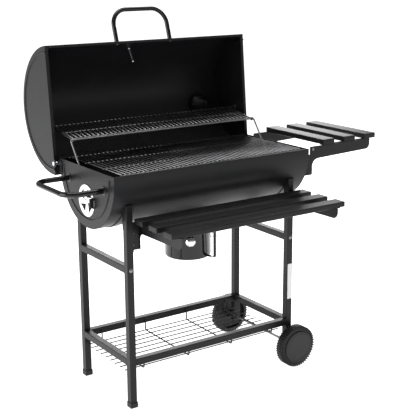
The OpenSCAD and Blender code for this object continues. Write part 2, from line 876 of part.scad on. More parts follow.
module wheel_cap_front() { wheel_cap(1); }

module wheel_cap_rear() { wheel_cap(0); }

// ---------- rack and grates ----------

// Two arms from the barrel's ends joined by the rack's front rod
module rack_legs() {
    color(steel) placed() {
        both_ends() translate([-barrel_len / 2 + hanger_t + 5.5, rack_foot_y, rack_foot_z])
            rotate([rack_leg_angle, 0, 0]) {
                rod_y(0, rack_leg, 0, 0, rack_wire - 0.8);
                rod_x(-hanger_t - 5, 2.5, 0, 0, rack_wire);
            }
        rod_x(barrel_x - barrel_len / 2 + hanger_t + 3, barrel_x + barrel_len / 2 - hanger_t - 3,
            rack_front_y, rack_front_z, rack_wire);
    }
}

// Wire rack whose front tubes turn on the legs' rod
module warming_rack() {
    arm_x = barrel_len / 2 - 19;
    pin_tip = barrel_len / 2 + lid_end_gap - sheet - 1.5;
    color(steel) placed() translate([barrel_x, rack_front_y, rack_front_z]) rotate([rack_slope, 0, 0])
        difference() {
            union() {
                steps = floor((2 * arm_x - 10) / wire_pitch);
                for (i = [0:steps])
                    rod_y(9, rack_len + 3, (i - steps / 2) * wire_pitch, wire_d / 2 + 1, wire_d, 8);
                for (y = [12, rack_len * 0.5, rack_len]) rod_x(-arm_x, arm_x, y, 0, rod_d, 8);
                for (side = [-1, 1]) {
                    rod_y(0, rack_len, side * arm_x, 0, rod_d + 1, 8);
                    rod_x(side * arm_x - 4, side * arm_x + 4, 0, 0, rack_wire + 7);
                    rod_x(side > 0 ? arm_x : -pin_tip, side > 0 ? pin_tip : -arm_x, rack_len, 0, rack_wire);
                }
            }
            rod_x(-arm_x - 8, arm_x + 8, 0, 0, rack_wire + 2 * fit);
        }
}

module cooking_grate() {
    color(steel) placed() wire_mat(grate_x0, grate_x1, grate_half, grate_z, wire_pitch,
        [-grate_half + 2.5, -grate_half / 3, grate_half / 3, grate_half - 2.5]);
}

// ---------- ash can ----------

module ash_can() {
    corner = 10;
    wall = 1.2;
    color(gloss) placed() translate([barrel_x, 0, 0]) rotate_extrude() difference() {
        union() {
            translate([0, can_z + corner]) square([can_r, can_top - can_z - corner]);
            translate([0, can_z]) square([can_r - corner, corner + 1]);
            translate([can_r - corner, can_z + corner]) circle(corner, $fn = 48);
        }
        translate([0, can_z + wall]) square([can_r - corner, can_top]);
        translate([0, can_z + corner]) square([can_r - wall, can_top]);
        translate([can_r - corner, can_z + corner]) circle(corner - wall, $fn = 48);
    }
}

// Bent strip handle in a plane through the can's axis
module ash_can_handle() {
    strip = 16;
    thick = 3;
    reach = 34;
    low = can_z + 8;
    high = can_z + 104;
    color(gloss) placed() translate([barrel_x, 0, 0]) rotate([0, 0, can_handle_angle]) along_y(-strip / 2, strip / 2) {
        difference() {
            translate([can_r, low]) square([reach, high - low]);
            translate([can_r - 1, low + thick]) square([reach - thick + 1, high - low - 2 * thick]);
        }
        translate([can_r, high]) square([thick, 24]);
    }
}

module ash_can_knob() {
    color(steel) placed() translate([barrel_x, 0, can_knob_z]) rotate([0, 0, can_knob_angle])
        translate([can_r, 0, 0]) rotate([0, 90, 0]) rotate_extrude() {
            square([5, 10]);
            translate([0, 8]) intersection() {
                translate([0, -14]) circle(22.6, $fn = 96);
                square([17.7, 10]);
            }
        }
}

// Hairpin wire that hooks the can up
module ash_can_hook() {
    bend = 7;
    hook_y = -can_r / 2;
    start_x = sqrt(can_r * can_r - pow(-hook_y - 1.6, 2));
    far_x = can_r + 65;
    color(steel) placed() translate([barrel_x, hook_y, can_z + 58]) {
        rod_x(start_x, far_x, 0, bend, 3.2);
        translate([far_x, 0, 0]) rotate([90, 0, 0]) rotate([0, 0, -90])
            rotate_extrude(angle = 180) translate([bend, 0]) circle(d = 3.2, $fn = 32);
        rod_x(far_x - 38, far_x, 0, -bend, 3.2);
    }
}

leg_front_left();
leg_rear_left();
leg_front_right();
leg_rear_right();
tube_caps();
side_bar_upper_left();
side_bar_upper_right();
side_bar_lower_left();
side_bar_lower_right();
long_bar_front();
long_bar_rear();
wire_shelf();
axle();
cart_bolts();
barrel_shell();
barrel_end_left();
barrel_end_right();
cradle_strap_left();
cradle_strap_right();
hinge_plates();
hinge_pins();
side_handle();
vent_rivet();
charcoal_grate();
grate_supports();
ash_collar();
leg_label();
front_slat_inner();
front_slat_middle();
front_slat_outer();
front_bracket_left();
front_bracket_right();
side_slat_inner();
side_slat_middle();
side_slat_outer();
side_bracket_front();
side_bracket_rear();
lid_shell();
lid_end_left();
lid_end_right();
lid_handle();
lid_bolts();
thermometer_case();
thermometer_dial();
thermometer_glass();
chimney_pipe();
rack_hangers();
chimney_cap();
vent_damper();
wheel_front();
wheel_rear();
wheel_cap_front();
wheel_cap_rear();
rack_legs();
warming_rack();
cooking_grate();
ash_can();
ash_can_handle();
ash_can_knob();
ash_can_hook();
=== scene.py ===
"""Looks of a barrel charcoal grill on its cart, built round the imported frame."""

import json
import logging
import math
from dataclasses import dataclass
from enum import Enum
from typing import Any, Sequence

import bmesh
import bpy
from mathutils import Matrix, Vector

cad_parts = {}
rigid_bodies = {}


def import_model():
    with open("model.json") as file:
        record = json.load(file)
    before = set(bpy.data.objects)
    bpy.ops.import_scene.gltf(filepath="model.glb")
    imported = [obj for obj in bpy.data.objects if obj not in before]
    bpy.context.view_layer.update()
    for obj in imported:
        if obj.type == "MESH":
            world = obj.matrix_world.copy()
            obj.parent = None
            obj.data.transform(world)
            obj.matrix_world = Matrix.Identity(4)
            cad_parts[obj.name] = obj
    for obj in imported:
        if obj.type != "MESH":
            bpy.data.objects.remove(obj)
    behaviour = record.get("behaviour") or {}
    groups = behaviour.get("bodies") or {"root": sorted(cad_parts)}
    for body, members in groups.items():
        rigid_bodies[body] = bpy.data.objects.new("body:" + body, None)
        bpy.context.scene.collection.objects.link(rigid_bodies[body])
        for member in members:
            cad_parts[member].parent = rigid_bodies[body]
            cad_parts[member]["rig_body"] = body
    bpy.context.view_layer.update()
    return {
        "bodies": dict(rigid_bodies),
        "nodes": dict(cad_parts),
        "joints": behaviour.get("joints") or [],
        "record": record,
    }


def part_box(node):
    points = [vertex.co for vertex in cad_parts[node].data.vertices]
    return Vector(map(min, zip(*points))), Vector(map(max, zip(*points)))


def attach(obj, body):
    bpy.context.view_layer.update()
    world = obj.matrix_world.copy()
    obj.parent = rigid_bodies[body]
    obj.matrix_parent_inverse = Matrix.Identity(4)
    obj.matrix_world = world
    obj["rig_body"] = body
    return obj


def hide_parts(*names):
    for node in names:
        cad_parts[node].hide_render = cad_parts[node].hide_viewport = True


log = logging.getLogger("grill")

MM = 0.001
# Lengths in metres, angles in radians
MERGE = 0.00002
LONG_EDGE = 0.06
FLAT_ANGLE = math.radians(0.8)
SHARP_ANGLE = math.radians(34)
CORNER_ANGLE = math.radians(60)
FLAT_WEIGHT = 90
ARC_STEPS = 8
TURNED = {"X": Matrix.Rotation(math.pi / 2, 4, "Y"), "Y": Matrix.Rotation(-math.pi / 2, 4, "X"),
          "Z": Matrix.Identity(4)}

Point = Sequence[float]


# ---------- node trees ----------

class Value:
    """A node's output that takes part in arithmetic."""

    def __init__(self, graph: "Graph", socket: bpy.types.NodeSocket) -> None:
        """Keeps the socket and the tree it belongs to."""
        self.graph = graph
        self.socket = socket

    def _math(self, operation: str, *terms: Any) -> "Value":
        """Adds a Math node on the terms."""
        return self.graph.node("ShaderNodeMath", {"operation": operation}, dict(enumerate(terms)))

    def __add__(self, other: Any) -> "Value":
        """Adds."""
        return self._math("ADD", self, other)

    def __radd__(self, other: Any) -> "Value":
        """Adds from the right."""
        return self._math("ADD", other, self)

    def __sub__(self, other: Any) -> "Value":
        """Takes away."""
        return self._math("SUBTRACT", self, other)

    def __rsub__(self, other: Any) -> "Value":
        """Is taken away."""
        return self._math("SUBTRACT", other, self)

    def __mul__(self, other: Any) -> "Value":
        """Multiplies."""
        return self._math("MULTIPLY", self, other)

    def __rmul__(self, other: Any) -> "Value":
        """Multiplies from the right."""
        return self._math("MULTIPLY", other, self)

    def above(self, level: float, softness: float) -> "Value":
        """Turns the value into a soft mask.

        Args:
            level: Where the mask is half open.
            softness: How wide the change is.

        Returns:
            A value from 0 to 1.
        """
        return self.graph.node("ShaderNodeMapRange", {"interpolation_type": "SMOOTHSTEP"},
                               {0: self, 1: level - softness, 2: level + softness, 3: 0.0, 4: 1.0})


class Graph:
    """Adds nodes to a shader or geometry tree."""

    def __init__(self, tree: bpy.types.NodeTree) -> None:
        """Keeps the tree."""
        self.tree = tree

    def node(self, kind: str, settings: dict[str, Any] | None = None,
             inputs: dict[Any, Any] | None = None, output: int | str = 0) -> Value:
        """Adds one node.

        Args:
            kind: The node's type.
            settings: Its own properties, set first.
            inputs: Constants or links for its sockets, by name or place.
            output: Which output is wanted.

        Returns:
            The wanted output.
        """
        made = self.tree.nodes.new(kind)
        for key, value in (settings or {}).items():
            setattr(made, key, value)
        for key, value in (inputs or {}).items():
            self.feed(made.inputs[key], value)
        return Value(self, made.outputs[output])

    def feed(self, socket: bpy.types.NodeSocket, value: Any) -> None:
        """Links a value to a socket, or sets the constant on it."""
        if isinstance(value, Value):
            self.tree.links.new(value.socket, socket)
        else:
            socket.default_value = value

    def place(self, scale: tuple[float, float, float] = (1, 1, 1)) -> Value:
        """Object coordinates, stretched by a scale."""
        here = self.node("ShaderNodeTexCoord", output="Object")
        return self.node("ShaderNodeMapping", None, {"Vector": here, "Scale": scale})

    def noise(self, where: Value, scale: float, detail: float = 2.0,
              roughness: float = 0.5) -> Value:
        """Noise from 0 to 1 with its middle at 0.5."""
        return self.node("ShaderNodeTexNoise", None, {
            "Vector": where, "Scale": scale, "Detail": detail, "Roughness": roughness})

    def blend(self, share: Any, first: Any, second: Any) -> Value:
        """Mixes two colours."""
        return self.node("ShaderNodeMix", {"data_type": "RGBA"}, {0: share, 6: first, 7: second},
                         2)

    def upward(self) -> Value:
        """How far a face looks up, from -1 to 1."""
        normal = self.node("ShaderNodeNewGeometry", output="Normal")
        return self.node("ShaderNodeSeparateXYZ", None, {0: normal}, "Z")

    def bump(self, height: Value, depth: float) -> Value:
        """A normal bumped by a height from 0 to 1 that stands for a depth in millimetres."""
        return self.node("ShaderNodeBump", None, {
            "Strength": 1.0, "Distance": depth * MM, "Height": height})

    def surface(self, **sockets: Any) -> Value:
        """A Principled shader whose sockets are named with underscores for spaces."""
        return self.node("ShaderNodeBsdfPrincipled", None,
                         {name.replace("_", " "): value for name, value in sockets.items()})

    def end(self, shader: Value) -> None:
        """Ends a material with its shader."""
        self.feed(self.tree.nodes.new("ShaderNodeOutputMaterial").inputs["Surface"], shader)


def new_material(name: str) -> tuple[bpy.types.Material, Graph]:
    """A material with an empty tree."""
    made = bpy.data.materials.new(name)
    made.use_nodes = True
    made.node_tree.nodes.clear()
    return made, Graph(made.node_tree)


def put(name: str, data: Any) -> bpy.types.Object:
    """Makes an object of its data in the scene."""
    made = bpy.data.objects.new(name, data)
    bpy.context.scene.collection.objects.link(made)
    return made


def shade(color: tuple[float, float, float],
          factor: float = 1.0) -> tuple[float, float, float, float]:
    """A colour made lighter or darker, with full alpha."""
    return (*(min(1.0, part * factor) for part in color), 1.0)


# ---------- finishes ----------

@dataclass(frozen=True)
class Paint:
    """A sprayed or brushed paint."""

    slot: str
    color: tuple[float, float, float]
    roughness: float
    peel: float = 0.03
    peel_scale: float = 700.0
    stretch: tuple[float, float, float] = (1, 1, 1)
    coat: float = 0.0
    dust: float = 0.1
    gleam: float = 0.22

    def surface(self, graph: Graph) -> Value:
        """Paint with cloudy tone, a fine spray texture and dust on upward faces."""
        where = graph.place(self.stretch)
        cloud = graph.noise(where, 14.0, 4.0, 0.6)
        grain = graph.noise(where, self.peel_scale, 2.0)
        specks = graph.noise(graph.place(), 1600.0, 0.0).above(0.72, 0.04)
        settled = (graph.upward().above(0.75, 0.25) * graph.noise(graph.place(), 30.0, 3.0)
                   * self.dust)
        tone = graph.blend(cloud.above(0.5, 0.3), shade(self.color, 0.86), shade(self.color, 1.16))
        tone = graph.blend(settled + specks * settled * 3.0, tone, (0.34, 0.34, 0.34, 1.0))
        rough = self.roughness + (cloud - 0.5) * 0.14 + (grain - 0.5) * 0.08 + settled * 0.6
        return graph.surface(Base_Color=tone, Roughness=rough, Specular_IOR_Level=self.gleam,
                             Coat_Weight=self.coat, Coat_Roughness=0.06,
                             Normal=graph.bump(grain, self.peel))


@dataclass(frozen=True)
class Metal:
    """A plated, rolled or polished metal."""

    slot: str
    color: tuple[float, float, float]
    roughness: float
    scratch: float = 0.006
    stretch: tuple[float, float, float] = (1, 1, 1)
    soot: float = 0.0

    def surface(self, graph: Graph) -> Value:
        """Metal with tarnish clouds, fine scratches and, on hot parts, soot."""
        where = graph.place(self.stretch)
        cloud = graph.noise(graph.place(), 26.0, 4.0, 0.6)
        lines = graph.noise(where, 900.0, 3.0, 0.7)
        black = graph.noise(graph.place(), 9.0, 5.0, 0.7).above(0.56, 0.12) * self.soot
        tone = graph.blend(cloud.above(0.5, 0.3), shade(self.color, 0.88), shade(self.color, 1.06))
        tone = graph.blend(black, tone, (0.03, 0.028, 0.026, 1.0))
        rough = self.roughness + (cloud - 0.5) * 0.12 + (lines - 0.5) * 0.1 + black * 0.3
        return graph.surface(Base_Color=tone, Metallic=1.0 - black * 0.7, Roughness=rough,
                             Normal=graph.bump(lines, self.scratch))


@dataclass(frozen=True)
class Plastic:
    """A moulded plastic with a fine spark-eroded grain."""

    slot: str
    color: tuple[float, float, float]
    roughness: float
    grain: float = 0.05

    def surface(self, graph: Graph) -> Value:
        """Plastic with moulding grain, scuffs and flow marks."""
        where = graph.place()
        flow = graph.noise(where, 18.0, 3.0)
        grain = graph.node("ShaderNodeTexVoronoi", {"feature": "SMOOTH_F1"},
                           {"Vector": where, "Scale": 900.0}, "Distance")
        scuff = graph.noise(graph.place((1.0, 1.0, 6.0)), 120.0, 4.0, 0.7).above(0.68, 0.05)
        tone = graph.blend(flow.above(0.5, 0.25), shade(self.color, 0.85), shade(self.color, 1.2))
        tone = graph.blend(scuff * 0.2, tone, (0.2, 0.2, 0.2, 1.0))
        return graph.surface(Base_Color=tone, Specular_IOR_Level=0.3,
                             Roughness=self.roughness + (flow - 0.5) * 0.12 + scuff * 0.1,
                             Normal=graph.bump(grain, self.grain))


@dataclass(frozen=True)
class Sticker:
    """A blank coated paper label."""

    slot: str = "label_paper"
    color: tuple[float, float, float] = (0.86, 0.86, 0.88)

    def surface(self, graph: Graph) -> Value:
        """Paper with faint fibres and a slight wave."""
        fibres = graph.noise(graph.place((1.0, 1.0, 0.3)), 2400.0, 3.0)
        wave = graph.noise(graph.place(), 60.0, 1.0)
        tone = graph.blend(fibres.above(0.6, 0.2), shade(self.color), shade(self.color, 0.93))
        return graph.surface(Base_Color=tone, Roughness=0.42 + (fibres - 0.5) * 0.1,
                             Normal=graph.bump(wave + fibres * 0.06, 0.15))


@dataclass(frozen=True)
class Enamel:
    """The white face of the thermometer."""

    slot: str = "dial_face"
    color: tuple[float, float, float] = (0.84, 0.84, 0.8)

    def surface(self, graph: Graph) -> Value:
        """Enamel with a faint mottle."""
        mottle = graph.noise(graph.place(), 500.0, 3.0)
        tone = graph.blend(mottle.above(0.55, 0.2), shade(self.color), shade(self.color, 0.95))
        return graph.surface(Base_Color=tone, Roughness=0.3 + (mottle - 0.5) * 0.1,
                             Normal=graph.bump(mottle, 0.01))


@dataclass(frozen=True)
class Lens:
    """The thermometer's glass."""

    slot: str = "glass"
    color: tuple[float, float, float] = (0.95, 0.97, 0.98)

    def surface(self, graph: Graph) -> Value:
        """Clear glass with faint wiping smears."""
        smear = graph.noise(graph.place((1.0, 0.3, 1.0)), 180.0, 4.0, 0.7)
        tone = graph.blend(smear.above(0.6, 0.2), shade(self.color), shade(self.color, 0.96))
        return graph.surface(Base_Color=tone, Roughness=0.02 + smear.above(0.55, 0.2) * 0.06,
                             Transmission_Weight=1.0, Normal=graph.bump(smear, 0.004))


class Finish(Enum):
    """Every finish on the grill."""

    SATIN = Paint("satin_black", (0.0105, 0.0107, 0.012), 0.38, peel=0.04)
    GLOSS = Paint("gloss_black", (0.005, 0.005, 0.0058), 0.13, peel=0.006, coat=0.35, dust=0.03)
    SLAT_X = Paint("slat_black", (0.0085, 0.0086, 0.0095), 0.36, 0.09, 420.0, (0.04, 1, 1),
                   dust=0.05)
    SLAT_Y = Paint("slat_black", (0.0085, 0.0086, 0.0098), 0.4, 0.09, 420.0, (1, 0.04, 1),
                   dust=0.12)
    HEAT = Paint("heat_black", (0.0085, 0.0084, 0.0083), 0.4, gleam=0.6, peel=0.1,
                 peel_scale=480.0, dust=0.06)
    WIRE = Metal("chrome_wire", (0.035, 0.0352, 0.037), 0.42, stretch=(0.1, 0.1, 1))
    RACK_WIRE = Metal("chrome_wire", (0.25, 0.25, 0.255), 0.3, stretch=(1, 0.1, 1), soot=0.25)
    CHROME = Metal("chrome", (0.3, 0.303, 0.312), 0.2, scratch=0.004)
    ZINC = Metal("zinc_steel", (0.3, 0.303, 0.32), 0.36, scratch=0.012, stretch=(1, 1, 0.2))
    TYRE = Plastic("wheel_plastic", (0.012, 0.0121, 0.0132), 0.48, 0.08)
    WHEEL_CAP = Plastic("wheel_cap_plastic", (0.016, 0.0161, 0.0175), 0.42, 0.05)
    CAP = Plastic("cap_plastic", (0.01, 0.01, 0.011), 0.5, 0.06)
    LABEL = Sticker()
    DIAL = Enamel()
    GLASS = Lens()

    def material(self) -> bpy.types.Material:
        """Builds the finish's material once."""
        name = self.name.lower()
        found = bpy.data.materials.get(name)
        if found:
            return found
        made, graph = new_material(name)
        graph.end(self.value.surface(graph))
        made.diffuse_color = shade(self.value.color)
        return made


# ---------- meshes, in millimetres until a mesh is made ----------

def to_mesh(shape: bmesh.types.BMesh, name: str) -> bpy.types.Mesh:
    """Writes a bmesh into a new mesh and frees it."""
    mesh = bpy.data.meshes.new(name)
    shape.to_mesh(mesh)
    shape.free()
    return mesh


def joined(name: str, meshes: list[bpy.types.Mesh]) -> bpy.types.Mesh:
    """Puts several meshes into one and removes them."""
    whole = bmesh.new()
    for mesh in meshes:
        whole.from_mesh(mesh)
        bpy.data.meshes.remove(mesh)
    return to_mesh(whole, name)


def even_shading(shape: bmesh.types.BMesh, name: str) -> bpy.types.Mesh:
    """Writes a softened shape into a mesh, shaded smooth with its large faces flat."""
    mesh = to_mesh(shape, name)
    mesh.shade_smooth()
    holder = put("shading", mesh)
    holder.modifiers.new("weighted", "WEIGHTED_NORMAL").weight = FLAT_WEIGHT
    return plain(holder)


def plain(holder: bpy.types.Object) -> bpy.types.Mesh:
    """Takes an object's evaluated mesh and removes the object and its modifiers."""
    graph = bpy.context.evaluated_depsgraph_get()
    graph.update()
    mesh = bpy.data.meshes.new_from_object(holder.evaluated_get(graph),
                                           preserve_all_data_layers=True,
                                           depsgraph=graph)
    source = holder.data
    holder.modifiers.clear()
    bpy.data.objects.remove(holder)
    bpy.data.meshes.remove(source)
    return mesh


def soften(shape: bmesh.types.BMesh, edge: float, corner: float = 0.0) -> None:
    """Rounds the sharp edges of a shape.

    Args:
        shape: The shape, changed in place.
        edge: Radius on every sharp edge, in millimetres.
        corner: Larger radius on long outer corners, in millimetres; 0 for none.
    """
    bmesh.ops.remove_doubles(shape, verts=shape.verts, dist=MERGE)
    bmesh.ops.dissolve_limit(shape, angle_limit=FLAT_ANGLE, verts=shape.verts, edges=shape.edges)
    if corner:
        outer = [e for e in shape.edges if len(e.link_faces) == 2 and e.calc_length() > LONG_EDGE
                 and e.calc_face_angle_signed() > CORNER_ANGLE]
        bmesh.ops.bevel(shape, geom=outer, offset=corner * MM, segments=4, profile=0.5,
                        affect="EDGES",
                        clamp_overlap=False)
    sharp = [e for e in shape.edges if len(e.link_faces) == 2 and e.calc_length() > edge * MM * 0.5
             and e.calc_face_angle() > SHARP_ANGLE]
    bmesh.ops.bevel(shape, geom=sharp, offset=edge * MM, segments=2, profile=0.5, affect="EDGES",
                    clamp_overlap=False)


def node_copy(node: str) -> bmesh.types.BMesh:
    """A merged copy of a CAD node's mesh."""
    shape = bmesh.new()
    shape.from_mesh(Shop.frame["nodes"][node].data)
    bmesh.ops.remove_doubles(shape, verts=shape.verts, dist=MERGE)
    return shape


def block(low: Vector, high: Vector) -> bmesh.types.BMesh:
    """A block between two corners."""
    shape = bmesh.new()
    bmesh.ops.create_cube(shape, size=1.0, matrix=Matrix.Translation((low + high) / 2 * MM)
                          @ Matrix.Diagonal((*((high - low) * MM), 1)))
    return shape


def softened_box(low: Point, high: Point, edge: float) -> bpy.types.Mesh:
    """A block between two corners with rounded edges."""
    shape = block(Vector(low), Vector(high))
    soften(shape, edge)
    return even_shading(shape, "block")


def smooth_but(mesh: bpy.types.Mesh, crease: float) -> bpy.types.Mesh:
    """Shades a mesh smooth but for edges past a crease angle in degrees."""
    mesh.shade_smooth()
    mesh.set_sharp_from_angle(angle=math.radians(crease))
    return mesh


def lathe(profile: list[tuple[float, float]], steps: int = 40, crease: float = 40.0,
          place: Matrix = Matrix.Identity(4)) -> bpy.types.Mesh:
    """Turns a profile round Z.

    Args:
        profile: Points of (radius, height); a radius of 0 closes the shape, and a profile that ends
            where it began makes a ring.
        steps: Facets round the axis.
        crease: Angle in degrees past which an edge stays sharp.
        place: Where the turned shape goes.

    Returns:
        A closed mesh with its faces outward.
    """
    shape = bmesh.new()
    rings = []
    for step in range(steps):
        across, up = math.cos(math.tau * step / steps) * MM, math.sin(math.tau * step / steps) * MM
        rings.append([shape.verts.new((radius * across, radius * up, height * MM))
                      for radius, height in profile])
    for here, there in zip(rings, rings[1:] + rings[:1]):
        for k in range(len(profile) - 1):
            shape.faces.new((here[k], there[k], there[k + 1], here[k + 1]))
    bmesh.ops.remove_doubles(shape, verts=shape.verts, dist=MERGE * 0.1)
    bmesh.ops.recalc_face_normals(shape, faces=shape.faces)
    shape.transform(place)
    return smooth_but(to_mesh(shape, "turned"), crease)


def rod(length: float, radius: float, axis: str = "Z", sides: int = 12) -> bpy.types.Mesh:
    """A round rod along an axis, centred, with chamfered ends."""
    half, cut = length / 2, radius * 0.4
    return lathe([(0, -half), (radius - cut, -half), (radius, cut - half), (radius, half - cut),
                  (radius - cut, half), (0, half)], sides, 50.0, TURNED[axis])


def moved(mesh: bpy.types.Mesh, place: Matrix) -> bpy.types.Mesh:
    """Moves a mesh's points and returns it."""
    mesh.transform(place)
    return mesh


def at(x: float, y: float, z: float) -> Matrix:
    """A move."""
    return Matrix.Translation(Vector((x, y, z)) * MM)


def turn(degrees: float, axis: str) -> Matrix:
    """A rotation."""
    return Matrix.Rotation(math.radians(degrees), 4, axis)


def span(node: str) -> tuple[Vector, Vector]:
    """The two corners of a CAD node's box."""
    low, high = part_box(node)
    return low / MM, high / MM


def islands(node: str) -> list[tuple[Vector, Vector]]:
    """The boxes of a CAD node's separate solids, in order along X, then Y, then Z."""
    shape = node_copy(node)
    left, boxes = set(shape.verts), []
    while left:
        group, edge = [], [left.pop()]
        while edge:
            vert = edge.pop()
            group.append(vert.co / MM)
            for other in (link.other_vert(vert) for link in vert.link_edges):
                if other in left:
                    left.discard(other)
                    edge.append(other)
        boxes.append((Vector(map(min, *group)), Vector(map(max, *group))))
    shape.free()
    return sorted(boxes, key=lambda box: tuple(round(part, 1) for part in box[0]))


# ---------- geometry nodes ----------

class Pattern:
    """Geometry Nodes trees for what repeats or follows a path."""

    trees: dict[str, bpy.types.NodeTree] = {}
    sockets: dict[str, dict[str, str]] = {
        "row": {"Piece": "Object", "Count": "Int", "Start": "Vector", "Step": "Vector"},
        "ring": {"Piece": "Object", "Count": "Int", "Step": "Float"},
        "spots": {"Points": "Geometry", "Piece": "Object"},
        "sweep": {"Line": "Geometry", "Radius": "Float", "Bend": "Float", "Bend Steps": "Int",
                  "Sides": "Int"}}

    @classmethod
    def tree(cls, name: str) -> bpy.types.NodeTree:
        """Builds a tree once: its nodes, then realized instances with a material."""
        if name not in cls.trees:
            tree = cls.trees[name] = bpy.data.node_groups.new(name, "GeometryNodeTree")
            for label, kind in (cls.sockets[name] | {"Material": "Material"}).items():
                tree.interface.new_socket(label, in_out="INPUT", socket_type="NodeSocket" + kind)
            tree.interface.new_socket("Geometry", in_out="OUTPUT",
                                      socket_type="NodeSocketGeometry")
            graph, given = Graph(tree), tree.nodes.new("NodeGroupInput")
            take = {socket.name: Value(graph, socket) for socket in given.outputs if socket.name}
            shape = getattr(cls, name + "_nodes")(graph, take)
            real = graph.node("GeometryNodeRealizeInstances", None, {"Geometry": shape})
            done = graph.node("GeometryNodeSetMaterial", None, {
                "Geometry": real, "Material": take["Material"]})
            graph.feed(tree.nodes.new("NodeGroupOutput").inputs[0], done)
        return cls.trees[name]

    @staticmethod
    def spread(graph: Graph, take: dict[str, Value], points: Value,
               rotation: Value | None = None) -> Value:
        """Sets the piece on points."""
        piece = graph.node("GeometryNodeObjectInfo", None, {"Object": take["Piece"]}, "Geometry")
        inputs = {"Points": points, "Instance": piece}
        if rotation:
            inputs["Rotation"] = rotation
        return graph.node("GeometryNodeInstanceOnPoints", None, inputs)

    @classmethod
    def row_nodes(cls, graph: Graph, take: dict[str, Value]) -> Value:
        """Repeats a piece along a line."""
        return cls.spread(graph, take, graph.node("GeometryNodeMeshLine", {"mode": "OFFSET"}, {
            "Count": take["Count"], "Start Location": take["Start"], "Offset": take["Step"]}))

    @classmethod
    def ring_nodes(cls, graph: Graph, take: dict[str, Value]) -> Value:
        """Repeats a piece round Z."""
        points = graph.node("GeometryNodePoints", None, {"Count": take["Count"]})
        angle = graph.node("GeometryNodeInputIndex") * take["Step"]
        return cls.spread(graph, take, points,
                          graph.node("ShaderNodeCombineXYZ", None, {"Z": angle}))

    @classmethod
    def spots_nodes(cls, graph: Graph, take: dict[str, Value]) -> Value:
        """Sets a piece on each point, with its Z along the point's facing."""
        facing = graph.node("GeometryNodeInputNamedAttribute", {"data_type": "FLOAT_VECTOR"},
                            {"Name": "facing"})
        aligned = graph.node("FunctionNodeAlignRotationToVector", {"axis": "Z"},
                             {"Vector": facing})
        return cls.spread(graph, take, take["Points"], aligned)

    @classmethod
    def sweep_nodes(cls, graph: Graph, take: dict[str, Value]) -> Value:
        """Sweeps a round bar along a line with rounded bends."""
        path = graph.node("GeometryNodeMeshToCurve", None, {"Mesh": take["Line"]})
        bent = graph.node("GeometryNodeFilletCurve", {"mode": "POLY"}, {
            "Curve": path, "Count": take["Bend Steps"], "Radius": take["Bend"],
            "Limit Radius": True})
        ring = graph.node("GeometryNodeCurvePrimitiveCircle", None, {
            "Resolution": take["Sides"], "Radius": take["Radius"]})
        return graph.node("GeometryNodeCurveToMesh", None, {
            "Curve": bent, "Profile Curve": ring, "Fill Caps": True})

    @classmethod
    def run(cls, name: str, base: bpy.types.Mesh, **given: Any) -> bpy.types.Mesh:
        """Runs a tree on a mesh.

        Args:
            name: The tree.
            base: The mesh that the modifier sits on.
            given: The tree's inputs by name, with underscores for spaces.

        Returns:
            The result as a plain mesh.
        """
        holder = put("pattern", base)
        nodes = holder.modifiers.new("pattern", "NODES")
        nodes.node_group = cls.tree(name)
        for item in nodes.node_group.interface.items_tree:
            label = item.name.replace(" ", "_")
            if item.in_out == "INPUT" and label in given:
                nodes[item.identifier] = given[label]
        return plain(holder)

    @classmethod
    def repeat(cls, name: str, piece: bpy.types.Mesh, finish: Finish,
               base: bpy.types.Mesh | None = None, **given: Any) -> bpy.types.Mesh:
        """Runs a tree that repeats a piece, and removes the piece."""
        source = put("source", piece)
        made = cls.run(name, base or bpy.data.meshes.new("empty"), Piece=source,
                       Material=finish.material(), **given)
        bpy.data.objects.remove(source)
        bpy.data.meshes.remove(piece)
        return made

    @classmethod
    def row(cls, piece: bpy.types.Mesh, count: int, start: Point, step: Point,
            finish: Finish) -> bpy.types.Mesh:
        """A piece repeated from a start by a step."""
        return cls.repeat("row", piece, finish, Count=count, Start=Vector(start) * MM,
                          Step=Vector(step) * MM)

    @classmethod
    def ring(cls, piece: bpy.types.Mesh, count: int, finish: Finish,
             step: float) -> bpy.types.Mesh:
        """A piece repeated round Z by a step in degrees."""
        return cls.repeat("ring", piece, finish, Count=count, Step=math.radians(step))

    @classmethod
    def spots(cls, piece: bpy.types.Mesh, spots: list[tuple[Point, Point]],
              finish: Finish) -> bpy.types.Mesh:
        """A piece set on spots, each a place and a facing."""
        base = bpy.data.meshes.new("spots")
        base.from_pydata([Vector(place) * MM for place, facing in spots], [], [])
        facings = base.attributes.new("facing", "FLOAT_VECTOR", "POINT")
        for item, (place, facing) in zip(facings.data, spots):
            item.vector = facing
        return cls.repeat("spots", piece, finish, base)

    @classmethod
    def sweep(cls, points: list[Point], radius: float, bend: float, finish: Finish,
              steps: int = 6, sides: int = 16) -> bpy.types.Mesh:
        """A round bar along points with rounded bends."""
        line = bpy.data.meshes.new("line")
        line.from_pydata([Vector(point) * MM for point in points],
                         [(k, k + 1) for k in range(len(points) - 1)], [])
        mesh = cls.run("sweep", line, Radius=radius * MM, Bend=bend * MM, Bend_Steps=steps,
                       Sides=sides, Material=finish.material())
        shape = bmesh.new()
        shape.from_mesh(mesh)
        bpy.data.meshes.remove(mesh)
        bmesh.ops.recalc_face_normals(shape, faces=shape.faces)
        return smooth_but(to_mesh(shape, "bar"), 50.0)


# ---------- the shop ----------

